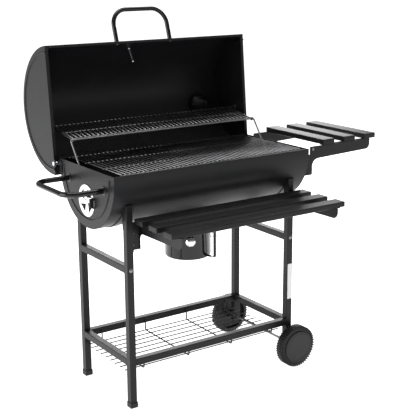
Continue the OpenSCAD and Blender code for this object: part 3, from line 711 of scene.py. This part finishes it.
class Shop:
    """Hands finished pieces to the frame."""

    frame: dict[str, Any] = {}
    count = 0

    @classmethod
    def keep(cls, name: str, mesh: bpy.types.Mesh, finish: Finish, body: str, *nodes: str) -> None:
        """Makes a piece of a mesh and puts it on its body.

        Args:
            name: The piece's name.
            mesh: Its mesh, in place.
            finish: What it is finished with.
            body: The body it rides on.
            nodes: The CAD nodes that it stands for.
        """
        mesh.name = name
        mesh.materials.clear()
        mesh.materials.append(finish.material())
        piece = put(name, mesh)
        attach(piece, body)
        if nodes:
            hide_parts(*nodes)
        cls.count += 1
        log.info("%s: %d faces, %s, on %s", name, len(mesh.polygons), finish.name.lower(), body)

    @classmethod
    def soft(cls, finish: Finish, edge: float, *nodes: str, corner: float = 0.0) -> None:
        """Keeps a softened copy of each CAD node on that node's own body."""
        for node in nodes:
            shape = node_copy(node)
            soften(shape, edge, corner)
            cls.keep("smooth_" + node, even_shading(shape, node), finish, cls.body_of(node), node)

    @classmethod
    def body_of(cls, node: str) -> str:
        """The body that a CAD node belongs to."""
        return cls.frame["nodes"][node]["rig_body"]

    @classmethod
    def joint(cls, name: str) -> dict[str, Any]:
        """A joint of the frame."""
        return next(joint for joint in cls.frame["joints"] if joint["name"] == name)

    @classmethod
    def pin(cls, name: str) -> Vector:
        """Where a joint's axis passes."""
        return Vector(cls.joint(name)["pos_m"]) / MM


def bolt_head(width: float, height: float, washer: float) -> bpy.types.Mesh:
    """A domed bolt head on a washer, seated at z = 0 and drawn up Z."""
    half = width / 2
    return lathe([(0, 0), (half + 1.2, 0), (half + 1.5, washer * 0.3), (half + 1.2, washer),
                  (half, washer), (half, height * 0.45), (half * 0.86, height * 0.75),
                  (half * 0.5, height * 0.95), (half * 0.3, height), (half * 0.26, height * 0.7),
                  (0, height * 0.7)], 24)


def hex_nut(width: float, height: float) -> bpy.types.Mesh:
    """A six-sided nut with a thread end, seated at z = 0."""
    shape = bmesh.new()
    bmesh.ops.create_cone(shape, cap_ends=True, segments=6, radius1=width / 2 * MM,
                          radius2=width / 2 * MM,
                          depth=height * MM, matrix=at(0, 0, height / 2))
    soften(shape, height * 0.12)
    thread = moved(rod(height * 1.5, width * 0.24, sides=16), at(0, 0, height * 0.75))
    return joined("nut", [even_shading(shape, "nut"), thread])


# ---------- cart ----------

@dataclass
class Cart:
    """The welded frame, its bottom shelf, axle and bolts."""

    tube_corner: float = 2.2
    tube_edge: float = 0.4
    shelf_count: int = 9
    shelf_wire: float = 4
    shelf_hanger: float = 5
    shelf_margin: float = 12
    hanger_shares: tuple[float, ...] = (0.085, 0.36, 0.635, 0.91)
    head_height: float = 4
    large_bolt: float = 12

    def build(self) -> None:
        """Builds every piece of the cart."""
        Shop.soft(Finish.SATIN, self.tube_edge, "leg_front_left", "leg_rear_left",
                  "leg_front_right",
                  "leg_rear_right", "side_bar_upper_left", "side_bar_upper_right",
                  "side_bar_lower_left", "side_bar_lower_right", "long_bar_front", "long_bar_rear",
                  corner=self.tube_corner)
        Shop.soft(Finish.CAP, 1.2, "tube_caps")
        Shop.soft(Finish.SATIN, 0.5, "cradle_strap_left", "cradle_strap_right")
        self.build_shelf()
        self.build_bolts()
        Shop.soft(Finish.ZINC, 0.5, "axle")
        self.build_label()

    def build_shelf(self) -> None:
        """Long wires on hangers that hook over the long bars."""
        low, high = span("wire_shelf")
        wire, hanger = self.shelf_wire / 2, self.shelf_hanger / 2
        first = low.y + hanger + self.shelf_margin
        gap = (high.y - low.y - 2 * (hanger + self.shelf_margin)) / (self.shelf_count - 1)
        start = ((low.x + high.x) / 2, first, low.z + self.shelf_hanger + wire - 0.5)
        wires = Pattern.row(rod(high.x - low.x, wire, "X"), self.shelf_count, start, (0, gap, 0),
                            Finish.WIRE)
        left, right = ((a.x + b.x) / 2
                       for a, b in map(span, ("leg_front_left", "leg_front_right")))
        near, far, bed = low.y + hanger, high.y - hanger, low.z + hanger
        hangers = []
        for share in self.hanger_shares:
            x = left + share * (right - left)
            hangers.append(Pattern.sweep([(x, near, high.z), (x, near, bed), (x, far, bed),
                                          (x, far, high.z)],
                                         hanger, 8, Finish.WIRE, 6, 12))
        Shop.keep("bottom_shelf_wires", joined("shelf", [wires, *hangers]), Finish.WIRE, "cart",
                  "wire_shelf")

    def build_bolts(self) -> None:
        """Domed heads with washers where the frame is bolted."""
        large, small = [], []
        for low, high in islands("cart_bolts"):
            size, middle = high - low, (low + high) / 2
            # A bolt lies along the axis across which its box is square
            axis = min(range(3), key=lambda k: abs(size[(k + 1) % 3] - size[(k + 2) % 3]))
            facing = Vector((0, 0, 0))
            facing[axis] = math.copysign(1.0, middle.y) if axis == 1 else 1.0
            seat = middle.copy()
            seat[axis] = (high if facing[axis] > 0 else low)[axis] - facing[axis] * self.head_height
            (large if size[(axis + 1) % 3] > self.large_bolt else small).append((seat, facing))
        heads = [Pattern.spots(bolt_head(size, self.head_height, 1.0), spots, Finish.ZINC)
                 for size, spots in ((11, large), (8.5, small))]
        Shop.keep("frame_bolt_heads", joined("bolts", heads), Finish.ZINC, "cart", "cart_bolts")

    def build_label(self) -> None:
        """A blank sticker with round corners."""
        low, high = span("leg_label")
        shape = block(low, high)
        through = [e for e in shape.edges
                   if abs((e.verts[0].co - e.verts[1].co).y) > (high.y - low.y) * 0.9 * MM]
        bmesh.ops.bevel(shape, geom=through, offset=2.5 * MM, segments=5, profile=0.5,
                        affect="EDGES")
        front = [e for e in shape.edges if all(abs(v.co.y - low.y * MM) < MERGE for v in e.verts)]
        bmesh.ops.bevel(shape, geom=front, offset=0.12 * MM, segments=2, profile=0.5,
                        affect="EDGES")
        Shop.keep("blank_leg_sticker", even_shading(shape, "label"), Finish.LABEL, "cart",
                  "leg_label")


@dataclass
class Wheel:
    """A ribbed wheel with its cap, drawn round Z and set on the axle."""

    side: str
    outward: float
    ribs: int = 48
    rib_width: float = 4.4
    base_drop: float = 3.2
    hub: float = 62
    hub_depth: float = 12
    bore: float = 5.1

    def build(self) -> None:
        """Builds the tyre with its ribs, and the cap."""
        body = "wheel_" + self.side
        low, high = span(body)
        axle = (low + high) / 2
        radius, width = (high.x - low.x) / 2, high.y - low.y
        base, face, hub, half = radius - self.base_drop, width - 1.6, self.hub, self.rib_width / 2
        place = self.seat(axle, low, high)
        tyre = lathe([(self.bore, 0), (17, 0), (17, 14), (hub, 14), (hub, 1), (hub + 1, 0),
                      (base - 3, 0), (base, 3), (base, face - 4), (base - 1.2, face - 1.2),
                      (base - 4, face), (hub + 1.5, face), (hub, face - 1.5),
                      (hub, width - self.hub_depth), (self.bore, width - self.hub_depth),
                      (self.bore, 0)], 96, place=place)
        rib = softened_box((hub + 3.4, -half, 1), (radius, half, width), 1.3)
        ribs = moved(Pattern.ring(rib, self.ribs, Finish.TYRE, 360 / self.ribs), place)
        top, rim, middle = radius - 0.1, radius - 0.7, width / 2
        band = lathe([(rim, middle - 3), (top, middle - 2), (top, middle + 2), (rim, middle + 3),
                      (base - 1, middle + 3), (base - 1, middle - 3), (rim, middle - 3)], 96,
                     place=place)
        Shop.keep("ribbed_tyre_" + self.side, joined("tyre", [tyre, ribs, band]), Finish.TYRE,
                  body, body)
        self.build_cap(body, axle)

    def seat(self, axle: Vector, low: Vector, high: Vector) -> Matrix:
        """A frame on the axle at a box's inner face, with its Z outward."""
        return (at(axle.x, low.y if self.outward > 0 else high.y, axle.z)
                @ turn(-self.outward * 90, "X"))

    def build_cap(self, body: str, axle: Vector) -> None:
        """A smooth domed cap with a sunk ring and a button."""
        node = "wheel_cap_" + self.side
        low, high = span(node)
        depth, radius = high.y - low.y, (high.x - low.x) / 2
        rim = radius - 0.4
        cap = lathe([(0, depth * 0.4), (radius - 8, depth * 0.4), (radius - 8, 0), (rim, 0),
                     (rim, depth - 2.2), (rim - 0.8, depth - 0.7), (rim - 2.4, depth),
                     (rim - 6, depth),
                     (rim - 6.8, depth - 0.9), (rim - 8.4, depth - 0.9), (rim - 9.4, depth - 0.3),
                     (20, depth - 0.05), (9, depth), (0, depth)], 96, 30.0,
                    self.seat(axle, low, high))
        Shop.keep("wheel_cover_" + self.side, cap, Finish.WHEEL_CAP, body, node)


# ---------- barrel ----------

@dataclass
class Barrel:
    """The fire barrel with its ends, hinges, handle and vent."""

    handle_bend: float = 49
    disc: float = 1.5

    def build(self) -> None:
        """Builds every piece of the barrel."""
        Shop.soft(Finish.SATIN, 0.45, "barrel_shell", "barrel_end_left", "barrel_end_right")
        Shop.soft(Finish.SATIN, 0.7, "hinge_plates")
        Shop.soft(Finish.CHROME, 0.8, "hinge_pins")
        Shop.soft(Finish.SATIN, 0.5, "ash_collar")
        Shop.soft(Finish.HEAT, 0.4, "grate_supports")
        self.build_handle()
        self.build_vent()

    def build_handle(self) -> None:
        """A bent tube whose feet sit on washers."""
        low, high = span("side_handle")
        radius = (high.z - low.z) / 2
        level, reach = (low.z + high.z) / 2, low.x + radius
        near, far = low.y + radius, high.y - radius
        bar = Pattern.sweep([(high.x, near, level), (reach, near, level), (reach, far, level),
                             (high.x, far, level)], radius, self.handle_bend, Finish.GLOSS, 16, 32)
        foot = lathe([(0, 0), (radius + 6, 0), (radius + 6.4, 0.8), (radius + 5.4, 2),
                      (radius + 2, 2.4),
                      (radius + 0.4, 5), (0, 5)])
        feet = Pattern.spots(foot, [((high.x, y, level), (-1, 0, 0)) for y in (near, far)],
                             Finish.GLOSS)
        Shop.keep("side_handle_tube", joined("handle", [bar, feet]), Finish.GLOSS, "cart",
                  "side_handle")

    def build_vent(self) -> None:
        """The turning vent disc, its finger tab and its rivet."""
        low, high = span("vent_damper")
        face = high.x - self.disc
        shape = node_copy("vent_damper")
        bmesh.ops.bisect_plane(shape, geom=[*shape.verts, *shape.edges, *shape.faces], dist=MERGE,
                               plane_co=((face - 0.05) * MM, 0, 0), plane_no=(-1, 0, 0),
                               clear_outer=True)
        bmesh.ops.holes_fill(shape, edges=[e for e in shape.edges if e.is_boundary])
        soften(shape, 0.35)
        Shop.keep("vent_disc", even_shading(shape, "vent"), Finish.CHROME, "vent_damper",
                  "vent_damper")
        radius, level = (high.z - low.z) / 2, (low.z + high.z) / 2
        near = (low.y + high.y) / 2 - radius
        tab = softened_box((low.x, near + 2, level - 16), (face - 0.05, near + 9, level + 18), 2.4)
        foot = softened_box((face - 3, near + 1, level - 18), (face - 0.02, near + 12, level + 20),
                            1.0)
        Shop.keep("vent_finger_tab", joined("tab", [tab, foot]), Finish.CAP, "vent_damper")
        low, high = span("vent_rivet")
        half, tall = (high.z - low.z) / 2, high.x - low.x
        dome = lathe([(0, 0), (4, 0), (4, tall - 2.6), (half, tall - 2.6), (half, tall - 1.8),
                      (half * 0.8, tall - 0.7), (half * 0.4, tall - 0.1), (0, tall)],
                     place=at(high.x, (low.y + high.y) / 2, (low.z + high.z) / 2) @ turn(-90, "Y"))
        Shop.keep("vent_rivet_dome", dome, Finish.CHROME, "cart", "vent_rivet")


@dataclass
class Grates:
    """The cooking grate, the charcoal grate and the folding rack."""

    wire: float = 4
    bearer: float = 5
    pitch: float = 17.5
    rack_wire: float = 6
    rack_inset: float = 19

    def build(self) -> None:
        """Builds the grates and the rack."""
        self.build_mat("cooking_grate", self.pitch, (-1.0, -1 / 3, 1 / 3, 1.0), 2.5,
                       Finish.RACK_WIRE)
        self.build_mat("charcoal_grate", 2 * self.pitch, (-1.0, 0.0, 1.0), 8, Finish.HEAT)
        self.build_rack()
        self.build_legs()

    def build_mat(self, node: str, pitch: float, shares: tuple[float, ...], inset: float,
                  finish: Finish) -> None:
        """Welded wires across bearers.

        Args:
            node: The CAD node it stands for.
            pitch: Distance between wires.
            shares: Where the bearers lie, as shares of the half width.
            inset: Distance of the outer bearers from the wires' ends.
            finish: The wires' finish.
        """
        low, high = span(node)
        length, half = high.x - low.x, (high.y - low.y) / 2
        middle = (low + high) / 2
        steps = math.floor(length / pitch + 0.001)
        wires = Pattern.row(rod(2 * half, self.wire / 2, "Y"), steps + 1,
                            (middle.x - steps * pitch / 2, middle.y, high.z - self.wire / 2),
                            (pitch, 0, 0), finish)
        offsets = [share * (half - inset if abs(share) == 1 else half) for share in shares]
        bars = Pattern.spots(rod(length, self.bearer / 2), [
            ((middle.x, middle.y + offset, low.z + self.bearer / 2),
             (1, 0, 0)) for offset in offsets], finish)
        Shop.keep(node + "_wires", joined(node, [wires, bars]), finish, Shop.body_of(node), node)

    def build_rack(self) -> None:
        """The warming rack on its sleeves and rear pins."""
        front, across = Shop.pin("rack_hinge"), Shop.pin("lid_hinge") - Shop.pin("rack_leg_hinge")
        length = math.hypot(across.y, across.z)
        place = at(*front) @ Matrix.Rotation(math.atan2(across.z, across.y), 4, "X")
        low, high = span("warming_rack")
        shell_low, shell_high = span("barrel_shell")
        arm, tip = (shell_high.x - shell_low.x) / 2 - self.rack_inset, (high.x - low.x) / 2
        steps = math.floor((2 * arm - 10) / self.pitch)
        wires = Pattern.row(rod(length - 6, self.wire / 2, "Y"), steps + 1,
                            (-steps * self.pitch / 2, length / 2 + 6, self.wire / 2 + 1),
                            (self.pitch, 0, 0), Finish.RACK_WIRE)
        bars = Pattern.spots(rod(2 * arm, self.bearer / 2), [
            ((0, y, 0), (1, 0, 0)) for y in (12, length / 2, length)], Finish.RACK_WIRE)
        sides = [Pattern.sweep([(side * arm, 7, 0), (side * arm, length, 0),
                                (side * tip, length, 0)],
                               self.rack_wire / 2, 5, Finish.RACK_WIRE) for side in (-1, 1)]
        sleeve = lathe([(3.1, -4), (5.9, -4), (6.5, -3.4), (6.5, 3.4), (5.9, 4), (3.1, 4),
                        (3.1, -4)], 32)
        sleeves = Pattern.spots(sleeve, [((side * arm, 0, 0), (1, 0, 0)) for side in (-1, 1)],
                                Finish.RACK_WIRE)
        Shop.keep("warming_rack_wires",
                  moved(joined("rack", [wires, bars, sleeves, *sides]), place),
                  Finish.RACK_WIRE, "warming_rack", "warming_rack")

    def build_legs(self) -> None:
        """One bent wire that carries the rack's front."""
        front, foot = Shop.pin("rack_hinge"), Shop.pin("rack_leg_hinge")
        low, high = span("rack_legs")
        points = [(low.x, *foot.yz), (low.x + 10, *foot.yz), (low.x + 10, *front.yz),
                  (high.x - 10, *front.yz), (high.x - 10, *foot.yz), (high.x, *foot.yz)]
        Shop.keep("rack_leg_wire", Pattern.sweep(points, self.rack_wire / 2, 4, Finish.RACK_WIRE),
                  Finish.RACK_WIRE, "rack_legs", "rack_legs")


# ---------- shelves ----------

@dataclass
class Shelves:
    """The slatted front and side shelves on their brackets."""

    slat_edge: float = 2.6
    screw: float = 7
    ledge: float = 2

    def build(self) -> None:
        """Builds the slats, the brackets and the screws under the slats."""
        for row in ("inner", "middle", "outer"):
            Shop.soft(Finish.SLAT_X, self.slat_edge, "front_slat_" + row)
            Shop.soft(Finish.SLAT_Y, self.slat_edge, "side_slat_" + row)
        Shop.soft(Finish.SATIN, 0.6, "front_bracket_left", "front_bracket_right",
                  "side_bracket_front",
                  "side_bracket_rear")
        self.build_screws()

    def build_screws(self) -> None:
        """Pan-head screws up through the bracket ledges into the slats."""
        spots = []
        for row in ("inner", "middle", "outer"):
            low, high = span("front_slat_" + row)
            spots += [(span("front_bracket_" + side)[1].x - 9, (low.y + high.y) / 2, low.z)
                      for side in ("left", "right")]
            low, high = span("side_slat_" + row)
            x = (low.x + high.x) / 2
            spots += [(x, span("side_bracket_front")[1].y - 8, low.z),
                      (x, span("side_bracket_rear")[0].y + 8, low.z)]
        screws = Pattern.spots(bolt_head(self.screw, 2.4, 0.5),
                               [((x, y, z - self.ledge), (0, 0, -1)) for x, y, z in spots],
                               Finish.ZINC)
        Shop.keep("slat_screws", screws, Finish.ZINC, "cart")


# ---------- lid ----------

@dataclass
class Lid:
    """The open lid with its handle, chimney and thermometer."""

    radius: float = 228
    centre: tuple[float, float] = (-185.48, -6)
    handle_angle: float = 167
    gauge_angle: float = 152
    handle_span: float = 231
    handle_height: float = 124
    handle_bend: float = 60
    handle_radius: float = 8.25

    def on_skin(self, x: float, closed_angle: float) -> Matrix:
        """A frame on the open lid's skin.

        Args:
            x: Place along the grill.
            closed_angle: Angle from +Y with the lid closed, in degrees.

        Returns:
            A matrix whose Z points out of the lid.
        """
        pivot = Shop.pin("lid_hinge")
        opened = turn(-Shop.joint("lid_hinge")["range_deg"][1], "X")
        return (at(*pivot) @ opened @ at(x - pivot.x, *self.centre) @ turn(closed_angle - 90, "X")
                @ at(0, 0, self.radius))

    def build(self) -> None:
        """Builds every piece of the lid."""
        Shop.soft(Finish.SATIN, 0.45, "lid_shell", "lid_end_left", "lid_end_right")
        Shop.soft(Finish.ZINC, 0.7, "rack_hangers")
        self.build_handle()
        self.build_gauge()
        Shop.soft(Finish.SATIN, 0.5, "chimney_pipe")
        Shop.soft(Finish.SATIN, 0.6, "chimney_cap")

    def build_handle(self) -> None:
        """The bent tube over the lid's edge, its feet and its nuts."""
        low, high = span("lid_handle")
        place = self.on_skin((low.x + high.x) / 2, self.handle_angle)
        half, radius, height = self.handle_span / 2, self.handle_radius, self.handle_height
        bar = Pattern.sweep([(-half, 0, 0), (-half, 0, height), (half, 0, height), (half, 0, 0)],
                            radius, self.handle_bend, Finish.GLOSS, 18, 32)
        foot = lathe([(0, -0.6), (radius + 5, -0.6), (radius + 5.2, 0.6), (radius + 4.2, 1.6),
                      (radius + 1.4, 2), (radius + 0.3, 4), (0, 4)])
        feet = Pattern.spots(foot, [((x, 0, 0), (0, 0, 1)) for x in (-half, half)], Finish.GLOSS)
        Shop.keep("lid_handle_tube", moved(joined("handle", [bar, feet]), place), Finish.GLOSS,
                  "lid",
                  "lid_handle")
        nuts = Pattern.spots(hex_nut(12, 4), [((x, 0, -1.7), (0, 0, -1)) for x in (-half, half)],
                             Finish.ZINC)
        Shop.keep("lid_handle_nuts", moved(nuts, place), Finish.ZINC, "lid", "lid_bolts")

    def build_gauge(self) -> None:
        """The round thermometer: case, dial with ticks and pointer, glass."""
        low, high = span("thermometer_case")
        place = self.on_skin((low.x + high.x) / 2, self.gauge_angle)
        case = lathe([(0, 0.6), (29, 0.6), (29, 12.6), (28.4, 14), (27.4, 14.4), (26.6, 13.8),
                      (26.4, 12.4), (26.9, 12.2), (26.9, 4), (0, 4)], 72, 30.0)
        probe = lathe([(0, -62), (2, -61.4), (3.6, -59), (4, -56), (4, 2), (0, 2)], 24, 50.0)
        nut = moved(hex_nut(15, 4), at(0, 0, -6.5))
        face = lathe([(0, 4), (26.8, 4), (26.8, 5), (26.2, 5.2), (0, 5.2)], 72)
        glass = lathe([(0, 10.5), (26.7, 10.5), (26.7, 12), (20, 12.9), (10, 13.5), (0, 13.7)], 72)
        for name, mesh, finish, nodes in (
                ("housing", joined("case", [case, probe, nut]), Finish.CHROME,
                 ("thermometer_case",)),
                ("face", face, Finish.DIAL, ("thermometer_dial",)),
                ("scale", self.scale(), Finish.CAP, ()),
                ("lens", glass, Finish.GLASS, ("thermometer_glass",))):
            Shop.keep("thermometer_" + name, moved(mesh, place), finish, "lid", *nodes)

    def scale(self) -> bpy.types.Mesh:
        """The ticks over 300 degrees, with the pointer and its hub."""
        minor = softened_box((20.5, -0.25, 5.1), (23.5, 0.25, 5.5), 0.08)
        major = softened_box((18.5, -0.55, 5.1), (23.5, 0.55, 5.6), 0.1)
        ticks = [moved(Pattern.ring(tick, count + 1, Finish.CAP, 300 / count), turn(-60, "Z"))
                 for tick, count in ((minor, 40), (major, 8))]
        hand = softened_box((-6, -0.9, 6.2), (19, 0.9, 6.9), 0.2)
        hub = lathe([(0, 5), (2.8, 5), (2.8, 7), (2, 7.8), (0, 8)], 24)
        return joined("scale", [*ticks, moved(joined("hand", [hand, hub]), turn(-40, "Z"))])


# ---------- ash can ----------

@dataclass
class AshCan:
    """The hanging ash can with its handle, knob and hook."""

    corner: float = 10
    wall: float = 1.2
    knob_angle: float = -117
    knob_height: float = 74
    hook_radius: float = 1.6
    hook_bend: float = 7

    def build(self) -> None:
        """Builds every piece of the can."""
        low, high = span("ash_can")
        radius, height = (high.x - low.x) / 2, high.z - low.z
        place = at((low.x + high.x) / 2, (low.y + high.y) / 2, low.z)
        self.build_can(place, radius, height)
        Shop.soft(Finish.GLOSS, 0.9, "ash_can_handle")
        self.build_knob(place, radius)
        self.build_hook()

    @staticmethod
    def arc(middle: tuple[float, float], radius: float, first: float,
            last: float) -> list[tuple[float, float]]:
        """Points on an arc of a profile, from one angle in degrees to another."""
        angles = [math.radians(first + (last - first) * k / ARC_STEPS) for k in range(ARC_STEPS + 1)]
        return [(middle[0] + radius * math.cos(a),
                 middle[1] + radius * math.sin(a)) for a in angles]

    def build_can(self, place: Matrix, radius: float, height: float) -> None:
        """A drawn can with a foot bead, a rolled rim and a pressed ring."""
        skin, corner, wall = radius - 0.8, self.corner, self.wall
        level, bend = height * 0.62, (skin - corner, corner)
        profile = [(0, 1.2), (skin - 22, 1.2), (skin - 20, 0), *self.arc(bend, corner, -90, 0),
                   (skin, level - 3), (skin + 0.7, level - 1.2), (skin + 0.7, level + 1.2),
                   (skin, level + 3), (skin, height - 5),
                   *self.arc((skin - 1.2, height - 2.2), 2.2, -40, 180), (skin - wall, height - 5),
                   *self.arc(bend, corner - wall, 0, -90), (0, wall + 1.2)]
        Shop.keep("ash_can_shell", lathe(profile, 128, place=place), Finish.GLOSS, "ash_can",
                  "ash_can")

    def build_knob(self, place: Matrix, radius: float) -> None:
        """A domed knob on a short stem."""
        side = (at(0, 0, self.knob_height) @ turn(self.knob_angle, "Z") @ at(radius, 0, 0)
                @ turn(90, "Y"))
        knob = lathe([(0, -0.9), (7.5, -0.9), (7.5, 0.6), (5.4, 1.2), (5, 4), (6, 7), (16.2, 8),
                      (17.5, 8.8), (17.7, 10), (16.8, 11.8), (13.5, 14.6), (8.5, 16.9), (4, 17.8),
                      (0, 18)], 64, 32.0, place @ side)
        Shop.keep("ash_can_knob_dome", knob, Finish.CHROME, "ash_can", "ash_can_knob")

    def build_hook(self) -> None:
        """The hairpin wire at the can's side."""
        low, high = span("ash_can_hook")
        y, thick, bend = (low.y + high.y) / 2, self.hook_radius, self.hook_bend
        top, bottom, far = high.z - thick, low.z + thick, high.x - thick
        points = [(low.x - 0.5, y, top), (far, y, top), (far, y, bottom),
                  (far - bend - 38, y, bottom)]
        Shop.keep("ash_can_hairpin",
                  Pattern.sweep(points, thick, bend - 0.1, Finish.CHROME, 10, 16),
                  Finish.CHROME, "ash_can", "ash_can_hook")


# ---------- studio ----------

@dataclass(frozen=True)
class Lamp:
    """A square soft light, with its place and size in metres and its power in watts."""

    name: str
    spot: tuple[float, float, float]
    size: float
    power: float

    def build(self, target: Vector) -> None:
        """Hangs the light and turns it to a target."""
        light = bpy.data.lights.new("studio_" + self.name, "AREA")
        light.shape, light.energy = "RECTANGLE", self.power
        light.size, light.size_y = self.size, self.size
        lamp = put(light.name, light)
        lamp.location = self.spot
        lamp.rotation_euler = (target - Vector(self.spot)).to_track_quat("-Z", "Y").to_euler()


@dataclass
class Studio:
    """Floor, soft lights and camera."""

    eye: tuple[float, float, float] = (-1.991, -2.947, 1.524)
    yaw: float = 0.6019
    pitch: float = -0.254
    roll: float = -0.0054
    lens: float = 83.7
    floor_size: float = 160.0
    glow: float = 0.95
    surround: float = 0.28
    target: tuple[float, float, float] = (0, 0, 0.75)
    lamps: tuple[Lamp, ...] = (Lamp("left", (-4.4, 0.7, 1.7), 3.0, 130.0),
                               Lamp("top", (0.3, 0.4, 4.2), 3.0, 90.0),
                               Lamp("back", (2.4, 3.6, 2.2), 2.6, 90.0))

    def build(self) -> None:
        """Sets up the floor, the lights and the camera."""
        self.build_floor()
        self.build_lights()
        self.build_camera()
        bpy.context.scene.view_settings.view_transform = "Standard"

    def build_floor(self) -> None:
        """A plain white floor with a glow of its own."""
        shape = bmesh.new()
        bmesh.ops.create_grid(shape, x_segments=1, y_segments=1, size=self.floor_size / 2)
        floor = put("studio_floor", to_mesh(shape, "studio_floor"))
        made, graph = new_material("studio_floor")
        dapple = graph.noise(graph.place(), 3.0, 2.0)
        tone = graph.blend(dapple, (0.94, 0.94, 0.94, 1.0), (0.97, 0.97, 0.97, 1.0))
        graph.end(graph.surface(Base_Color=tone, Roughness=0.9, Emission_Color=tone,
                                Emission_Strength=self.glow))
        floor.data.materials.append(made)

    def build_lights(self) -> None:
        """A dim white surround and the lamps."""
        world = bpy.data.worlds.new("studio")
        world.use_nodes = True
        background = world.node_tree.nodes["Background"].inputs
        background["Color"].default_value = (1.0, 1.0, 1.0, 1.0)
        background["Strength"].default_value = self.surround
        bpy.context.scene.world = world
        for lamp in self.lamps:
            lamp.build(Vector(self.target))

    def build_camera(self) -> None:
        """The camera in front and to the left, looking a little down."""
        camera = put("camera", bpy.data.cameras.new("camera"))
        camera.data.lens = self.lens
        camera.data.sensor_width = 36.0
        camera.data.clip_end = 200.0
        turn = (Matrix.Rotation(-self.yaw, 4, "Z")
                @ Matrix.Rotation(math.pi / 2 + self.pitch, 4, "X")
                @ Matrix.Rotation(self.roll, 4, "Z"))
        camera.matrix_world = Matrix.Translation(self.eye) @ turn
        bpy.context.scene.camera = camera


def main() -> None:
    """Builds the grill round its frame."""
    logging.basicConfig(level=logging.INFO, format="%(name)s %(message)s")
    Shop.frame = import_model()
    for part in (Cart(), Wheel("front", -1.0), Wheel("rear", 1.0), Barrel(), Grates(), Shelves(),
                 Lid(),
                 AshCan(), Studio()):
        part.build()
    log.info("%d pieces", Shop.count)


if __name__ == "__main__":
    main()
